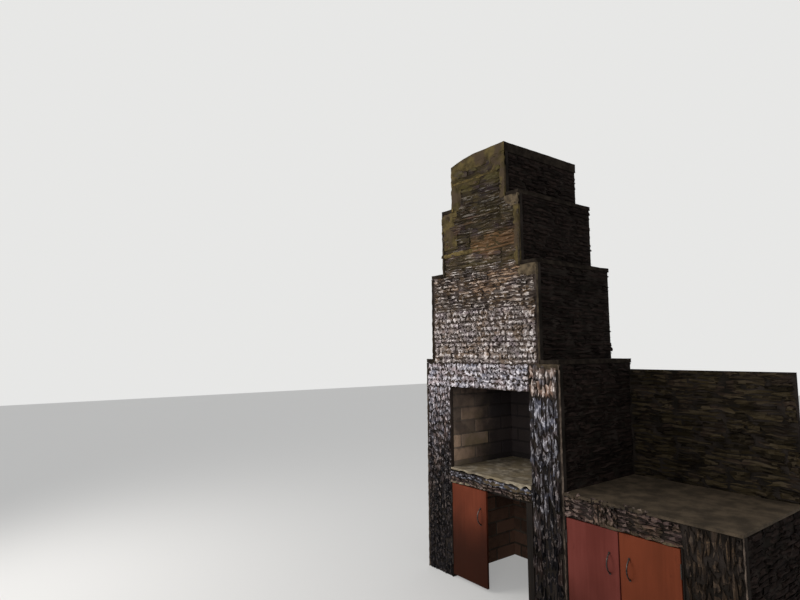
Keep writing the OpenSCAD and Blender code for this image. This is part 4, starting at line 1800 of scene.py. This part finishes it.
@dataclass
class Walls:
    """The brick walls of the base, the fire, the stack and the counter."""

    dice: random.Random = field(default_factory=lambda: random.Random(23))
    wall: float = 0.140
    course: float = 0.100
    corbels: int = 4
    flues: tuple[float, ...] = (0.355, 0.220, 0.105)
    stack_offset: float = -0.045
    lintel_top: float = 1.382
    fire_phase: float = 0.062
    fire_lead: float = 0.067
    clean_side: float = -0.38
    clean_depth: float = 0.27
    clean_level: float = 0.97
    tone: Span = Span(0.1, 1.0)

    def build(self) -> None:
        """Builds every brick node."""
        bank = BrickBank("brick", 5, 300)
        work = Brickwork(bank, self.dice)
        for node in ("left_base_wall", "right_base_wall", "counter_pier"):
            work.build(node, [Run(*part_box(node), wythes=2)], self.plain)
        for node in ("rear_base_wall", "counter_rear_wall"):
            work.build(node, [Run(*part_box(node))], self.plain)
        back = Run(*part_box("fire_back"), phase=self.fire_phase)
        work.build("fire_back", [back], self.clean_brick, True)
        for node in ("left_firebox_wall", "right_firebox_wall"):
            work.build(node, self.notched(node), self.clean_brick, True)
        stages = ("lower_stack", "middle_stack", "upper_stack")
        for node, flue, following in zip(stages, self.flues, (*self.flues[1:], self.flues[-1])):
            work.build(node, list(self.stage(node, flue, following)), self.plain, True)
        bank.clear()

    def plain(self, place: Vector) -> Tint:
        """A drawn tone for a brick, with no patch."""
        return self.tone.draw(self.dice), 0.0

    def clean_brick(self, place: Vector) -> Tint:
        """Draws a brick's tone; one brick in the fire's left wall has stayed clean.

        Args:
            place: the brick's middle.

        Returns:
            Its tone and warmth.
        """
        beside = place.x < FIRE_CENTRE + self.clean_side and place.y < FRONT_PLANE + self.clean_depth
        clean = beside and abs(place.z - self.clean_level) < self.course / 2
        return self.tone.draw(self.dice), float(clean)

    def notched(self, node: str) -> list[Run]:
        """Plans a side wall of the fire, in two runs round the seat of the lintel.

        Args:
            node: the wall's CAD node.

        Returns:
            The runs under the seat and behind it.
        """
        low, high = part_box(node)
        under = Vector((high.x, high.y, self.lintel_top))
        behind = Vector((low.x, low.y + self.wall, self.lintel_top))
        lead = self.fire_lead
        return [Run(low, under, lead, self.fire_phase, wythes=2), Run(behind, high, lead, wythes=2)]

    def stage(self, node: str, flue: float, following: float) -> Iterator[Run]:
        """Plans the courses of one stage of the stack, corbelled in under the next one.

        Args:
            node: the stage's CAD node.
            flue: half its clear width.
            following: half the clear width of the next stage.

        Yields:
            The four runs of each course.
        """
        low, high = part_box(node)
        middle = FIRE_CENTRE + self.stack_offset
        for level in range(math.ceil((high.z - low.z) / self.course)):
            top = high.z - self.course * level
            bottom = max(top - self.course, low.z)
            step = max(self.corbels - level, 0) / self.corbels
            reach = flue - (flue - following) * step
            x = (low.x, middle - reach, middle + reach, high.x)
            y = (low.y, low.y + self.wall, high.y - self.wall, high.y)
            through = level % 2 == 0
            rows = (x[0], x[3]) if through else (x[1], x[2])
            ends = (y[1], y[2]) if through else (y[0], y[3])
            for start, end in ((y[0], y[1]), (y[2], y[3])):
                yield Run(Vector((rows[0], start, bottom)), Vector((rows[1], end, top)))
            for start, end in ((x[0], x[1]), (x[2], x[3])):
                yield Run(Vector((start, ends[0], bottom)), Vector((end, ends[1], top)))


@dataclass
class Mortarwork:
    """The shoulders, the chimney's top, the hearth's plaster, the counter's screed and the slabs."""

    hollows: float = 0.07
    plaster: float = 0.008
    plaster_wear: float = 0.006
    plaster_hollows: float = 0.035
    plaster_cuts: Size = (0.012, 0.023, 0.0)
    nose_cuts: Size = (0.0, 0.0, 0.010)
    nose_height: float = 0.026
    nose_depth: float = 0.040
    nose_round: float = 0.007
    drip: float = 0.020
    drip_from: float = -0.10
    drip_fades_over: float = 0.42
    drips_to_the_metre: float = 17.0
    ragged_lift: float = 0.012
    ragged_tuck: float = 0.006

    def build(self) -> None:
        """Builds every piece of mortar, plaster and concrete."""
        self.worn("shoulder_mortar", "mortar", Shop.CAP, (0.03, 0.035, 0.015), 0.007)
        self.worn("chimney_top_mortar", "mortar", Shop.CAP, (0.03, 0.035, 0.015), 0.006, Shop.OLIVE)
        self.worn("counter_screed", "screed", Shop.SCREED, (0.025, 0.025, 0.008), 0.004)
        self.hearth()
        Delivery.node("hearth_slab", Shop.CONCRETE)
        Delivery.node("counter_slab", Shop.CONCRETE)
        Delivery.node("lintel", Shop.SMOKED)

    def worn(self, node: str, slot: str, finish: MortarFinish, steps: Size, depth: float,
             front: MortarFinish | None = None) -> None:
        """Builds one node as mortar whose faces and edges are worn, but not where it rests.

        Args:
            node: the CAD node.
            slot: the record's material slot.
            finish: the mortar's finish.
            steps: how finely it is cut along each axis.
            depth: how deep it is worn.
            front: the finish of its front, where that differs.
        """
        block = Bench.copy_of(node, node + "_worn")
        Bench.slice(block, steps)
        levels = [vertex.co.z for vertex in block.data.vertices]
        Bench.roughen(block, depth, self.hollows)
        for vertex, level in zip(block.data.vertices, levels):
            vertex.co.z = min(vertex.co.z, level)
        Bench.paint(block, finish, front or finish)
        for face in block.data.polygons:
            face.material_index = int(face.normal.y < -0.7 and face.center.y < FRONT_PLANE + depth)
        Delivery.piece(block, MASONRY, slot, node)

    def hearth(self) -> None:
        """Builds the hearth's plaster, whose nose hangs lower and lower over the stones to the right."""
        low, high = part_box("hearth_plaster")
        sheet = Bench.block("hearth_plaster_worn", Vector((low.x, low.y, high.z - self.plaster)), high)
        Bench.slice(sheet, self.plaster_cuts)
        nose_end = low.y + self.nose_depth
        nose_low = high.z - self.nose_height
        drop = (0, 0, self.plaster - self.nose_height)
        with Bench.editing(sheet):
            Bench.choose(sheet, Element.FACE, lambda face: face.normal.z < -0.9 and face.center.y < nose_end)
            bpy.ops.mesh.extrude_region_move(TRANSFORM_OT_translate={"value": drop})
        for vertex in sheet.data.vertices:
            if vertex.co.z < nose_low + 0.002:
                self.hang(vertex.co)
        Bench.soften(sheet, self.nose_round, 3)
        Bench.slice(sheet, self.nose_cuts)
        Bench.roughen(sheet, self.plaster_wear, self.plaster_hollows)
        Delivery.piece(Bench.paint(sheet, Shop.PLASTER), MASONRY, "plaster", "hearth_plaster")

    def hang(self, place: Vector) -> None:
        """Moves a point of the nose's lower edge, which is ragged and drips more to the right.

        Args:
            place: the point's place, which is changed.
        """
        right = min(max((place.x - FIRE_CENTRE - self.drip_from) / self.drip_fades_over, 0.0), 1.0)
        lump = noise.noise(Vector((place.x * self.drips_to_the_metre, 0.0, 0.0)))
        ragged = min(max(0.5 + lump * 1.2, 0.0), 1.0)
        place.z += self.ragged_lift * (1.0 - ragged) - self.drip * right * ragged
        place.y += self.ragged_tuck * ragged


@dataclass(frozen=True)
class Door:
    """One cupboard door with its handle and hinges."""

    name: str
    finish: BoardFinish
    handle: str
    hinges: str
    band: float = 0.0009
    ease: float = 0.0011

    def build(self) -> None:
        """Builds the leaf, and dresses its handle and hinges."""
        leaf = Bench.block(self.name + "_leaf", *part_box(self.name))
        with Bench.editing(leaf):
            Bench.choose(leaf, Element.FACE, lambda face: abs(face.normal.y) > 0.9)
            bpy.ops.mesh.inset(thickness=self.band, depth=0.0)
        Bench.soften(leaf, self.ease)
        with Bench.editing(leaf):
            bpy.ops.mesh.normals_make_consistent(inside=False)
        Delivery.piece(Bench.paint(leaf, self.finish), self.name + "_leaf", "red_board", self.name)
        Delivery.node(self.handle, Shop.HANDLE)
        Delivery.node(self.hinges, Shop.HINGE)


@dataclass
class Joinery:
    """The cupboards' linings and doors."""

    lining: float = 0.008
    post: float = 0.049
    head_front: float = 0.034
    head_lap: float = 0.014
    clearance: float = 0.0055
    hearth_door_top: float = 0.674
    counter_door_top: float = 0.653
    ease: float = 0.0015

    def build(self) -> None:
        """Builds both linings and the three doors."""
        self.frame_of("hearth_cupboard_frame", self.post, self.hearth_door_top)
        self.frame_of("counter_cupboard_frame", self.lining, self.counter_door_top)
        Door("hearth_door", Shop.BROWN_BOARD, "hearth_door_handle", "hearth_door_hinges").build()
        Door("counter_left_door", Shop.SHEEN_PINK_BOARD, "counter_left_handle", "counter_left_hinges").build()
        Door("counter_right_door", Shop.ORANGE_BOARD, "counter_right_handle", "counter_right_hinges").build()
        for pins in ("hearth_hinge_pins", "counter_left_hinge_pins", "counter_right_hinge_pins"):
            Delivery.node(pins, Shop.HINGE)

    def frame_of(self, node: str, right: float, door_top: float) -> None:
        """Builds a lining from its two jambs and its head.

        Args:
            node: the lining's CAD node.
            right: the width of its right jamb.
            door_top: the height of its doors' top edge.
        """
        low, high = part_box(node)
        inner = (low.x + self.lining, high.x - right)
        jamb_top = door_top + self.clearance
        head_low = Vector((inner[0], low.y + self.head_front, door_top - self.head_lap))
        boards = ((Vector((low.x, low.y, 0)), Vector((inner[0], high.y, jamb_top))),
                  (Vector((inner[1], low.y, 0)), Vector((high.x, high.y, jamb_top))),
                  (head_low, Vector((inner[1], high.y, high.z))))
        parts = []
        for start, end in boards:
            board = Bench.block(node + "_board", start, end)
            Bench.soften(board, self.ease)
            parts.append(board)
        lining = Bench.join(node + "_boards", parts)
        Delivery.piece(Bench.paint(lining, Shop.SHADED_TIMBER), MASONRY, "timber", node)


@dataclass
class Studio:
    """The floor, the lamps, the world and the camera."""

    target: Vector = field(default_factory=lambda: Vector((-0.3, -0.2, 1.4)))
    eye: Vector = field(default_factory=lambda: Vector((2.2395, -3.2005, 1.644)))
    yaw: float = math.radians(-52.98)
    pitch: float = math.radians(5.52)
    roll: float = math.radians(0.43)
    lens: float = 24.4
    sensor: float = 36.0
    floor_size: float = 40.0

    def build(self) -> None:
        """Builds the studio round the fireplace."""
        bpy.context.scene.view_settings.view_transform = "Standard"
        self.floor()
        self.world()
        self.lamp("window_side_lamp", Vector((-2.8, -4.0, 2.7)), 2.4, 125.0, (1.0, 0.98, 0.96))
        self.lamp("camera_side_lamp", Vector((2.6, -4.6, 2.6)), 2.0, 46.0, (1.0, 0.99, 0.97))
        self.camera()

    def floor(self) -> None:
        """Lays a plain pale floor."""
        bpy.ops.object.select_all(action="DESELECT")
        bpy.ops.mesh.primitive_plane_add(size=self.floor_size)
        floor = bpy.context.object
        floor.name = "floor"
        paint = Paint("pale_floor")
        floor.data.materials.append(paint.finish(Base_Color=(0.72, 0.71, 0.69), Roughness=0.9))
        plain = Signal(paint, paint.shader.outputs[0])
        glow = paint.node("ShaderNodeEmission", {}, {"Color": (0.78, 0.78, 0.77)})
        share = paint.node("ShaderNodeLightPath", outlet="Is Camera Ray") * 0.35
        paint.show(share, (plain, glow), paint.tree.nodes["Material Output"])
        floor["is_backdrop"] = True

    def world(self) -> None:
        """Lights the scene evenly, and shows a pale backdrop to the camera and to reflections."""
        world = bpy.data.worlds.new("studio")
        bpy.context.scene.world = world
        world.use_nodes = True
        graph = Graph(world.node_tree)
        straight, passed, mirrored = (graph.node("ShaderNodeLightPath", outlet=kind)
                                      for kind in ("Is Camera Ray", "Is Transmission Ray", "Is Glossy Ray"))
        ambient = graph.node("ShaderNodeBackground", {}, {"Color": (0.95, 0.97, 1.0), "Strength": 0.45})
        backdrop = graph.node("ShaderNodeBackground", {}, {"Color": (0.80, 0.80, 0.79), "Strength": 1.0})
        shown = straight.most(passed).most(mirrored)
        graph.show(shown, (ambient, backdrop), graph.tree.nodes["World Output"])

    def lamp(self, name: str, place: Vector, size: float, power: float, colour: Colour) -> None:
        """Hangs a soft square lamp that looks at the fireplace.

        Args:
            name: its name.
            place: its place.
            size: the length of its side.
            power: its power in watts.
            colour: the colour of its light.
        """
        data = bpy.data.lights.new(name, "AREA")
        data.size = size
        data.energy = power
        data.color = colour
        lamp = bpy.data.objects.new(name, data)
        lamp.location = place
        lamp.rotation_euler = (self.target - place).to_track_quat("-Z", "Y").to_euler()
        bpy.context.scene.collection.objects.link(lamp)

    def camera(self) -> None:
        """Sets the camera at the photograph's place, turn and lens."""
        data = bpy.data.cameras.new("photo_camera")
        data.lens = self.lens
        data.sensor_width = self.sensor
        camera = bpy.data.objects.new("photo_camera", data)
        turns = ((-self.yaw, "Z"), (math.pi / 2 + self.pitch, "X"), (-self.roll, "Z"))
        camera.matrix_world = Matrix.Translation(self.eye)
        for angle, axis in turns:
            camera.matrix_world = camera.matrix_world @ Matrix.Rotation(angle, 4, axis)
        bpy.context.scene.collection.objects.link(camera)
        bpy.context.scene.camera = camera


def corners() -> list[list[float]]:
    """The whole model's box as plain lists of numbers."""
    low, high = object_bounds()
    return [list(low), list(high)]


def main() -> None:
    """Builds the dressed fireplace in order."""
    logging.basicConfig(level=logging.INFO, format="%(name)s: %(message)s")
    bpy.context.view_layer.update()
    Studio().build()
    Walls().build()
    Mortarwork().build()
    Facework().build()
    Joinery().build()
    bpy.ops.object.select_all(action="DESELECT")


if __name__ == "__main__":
    main()
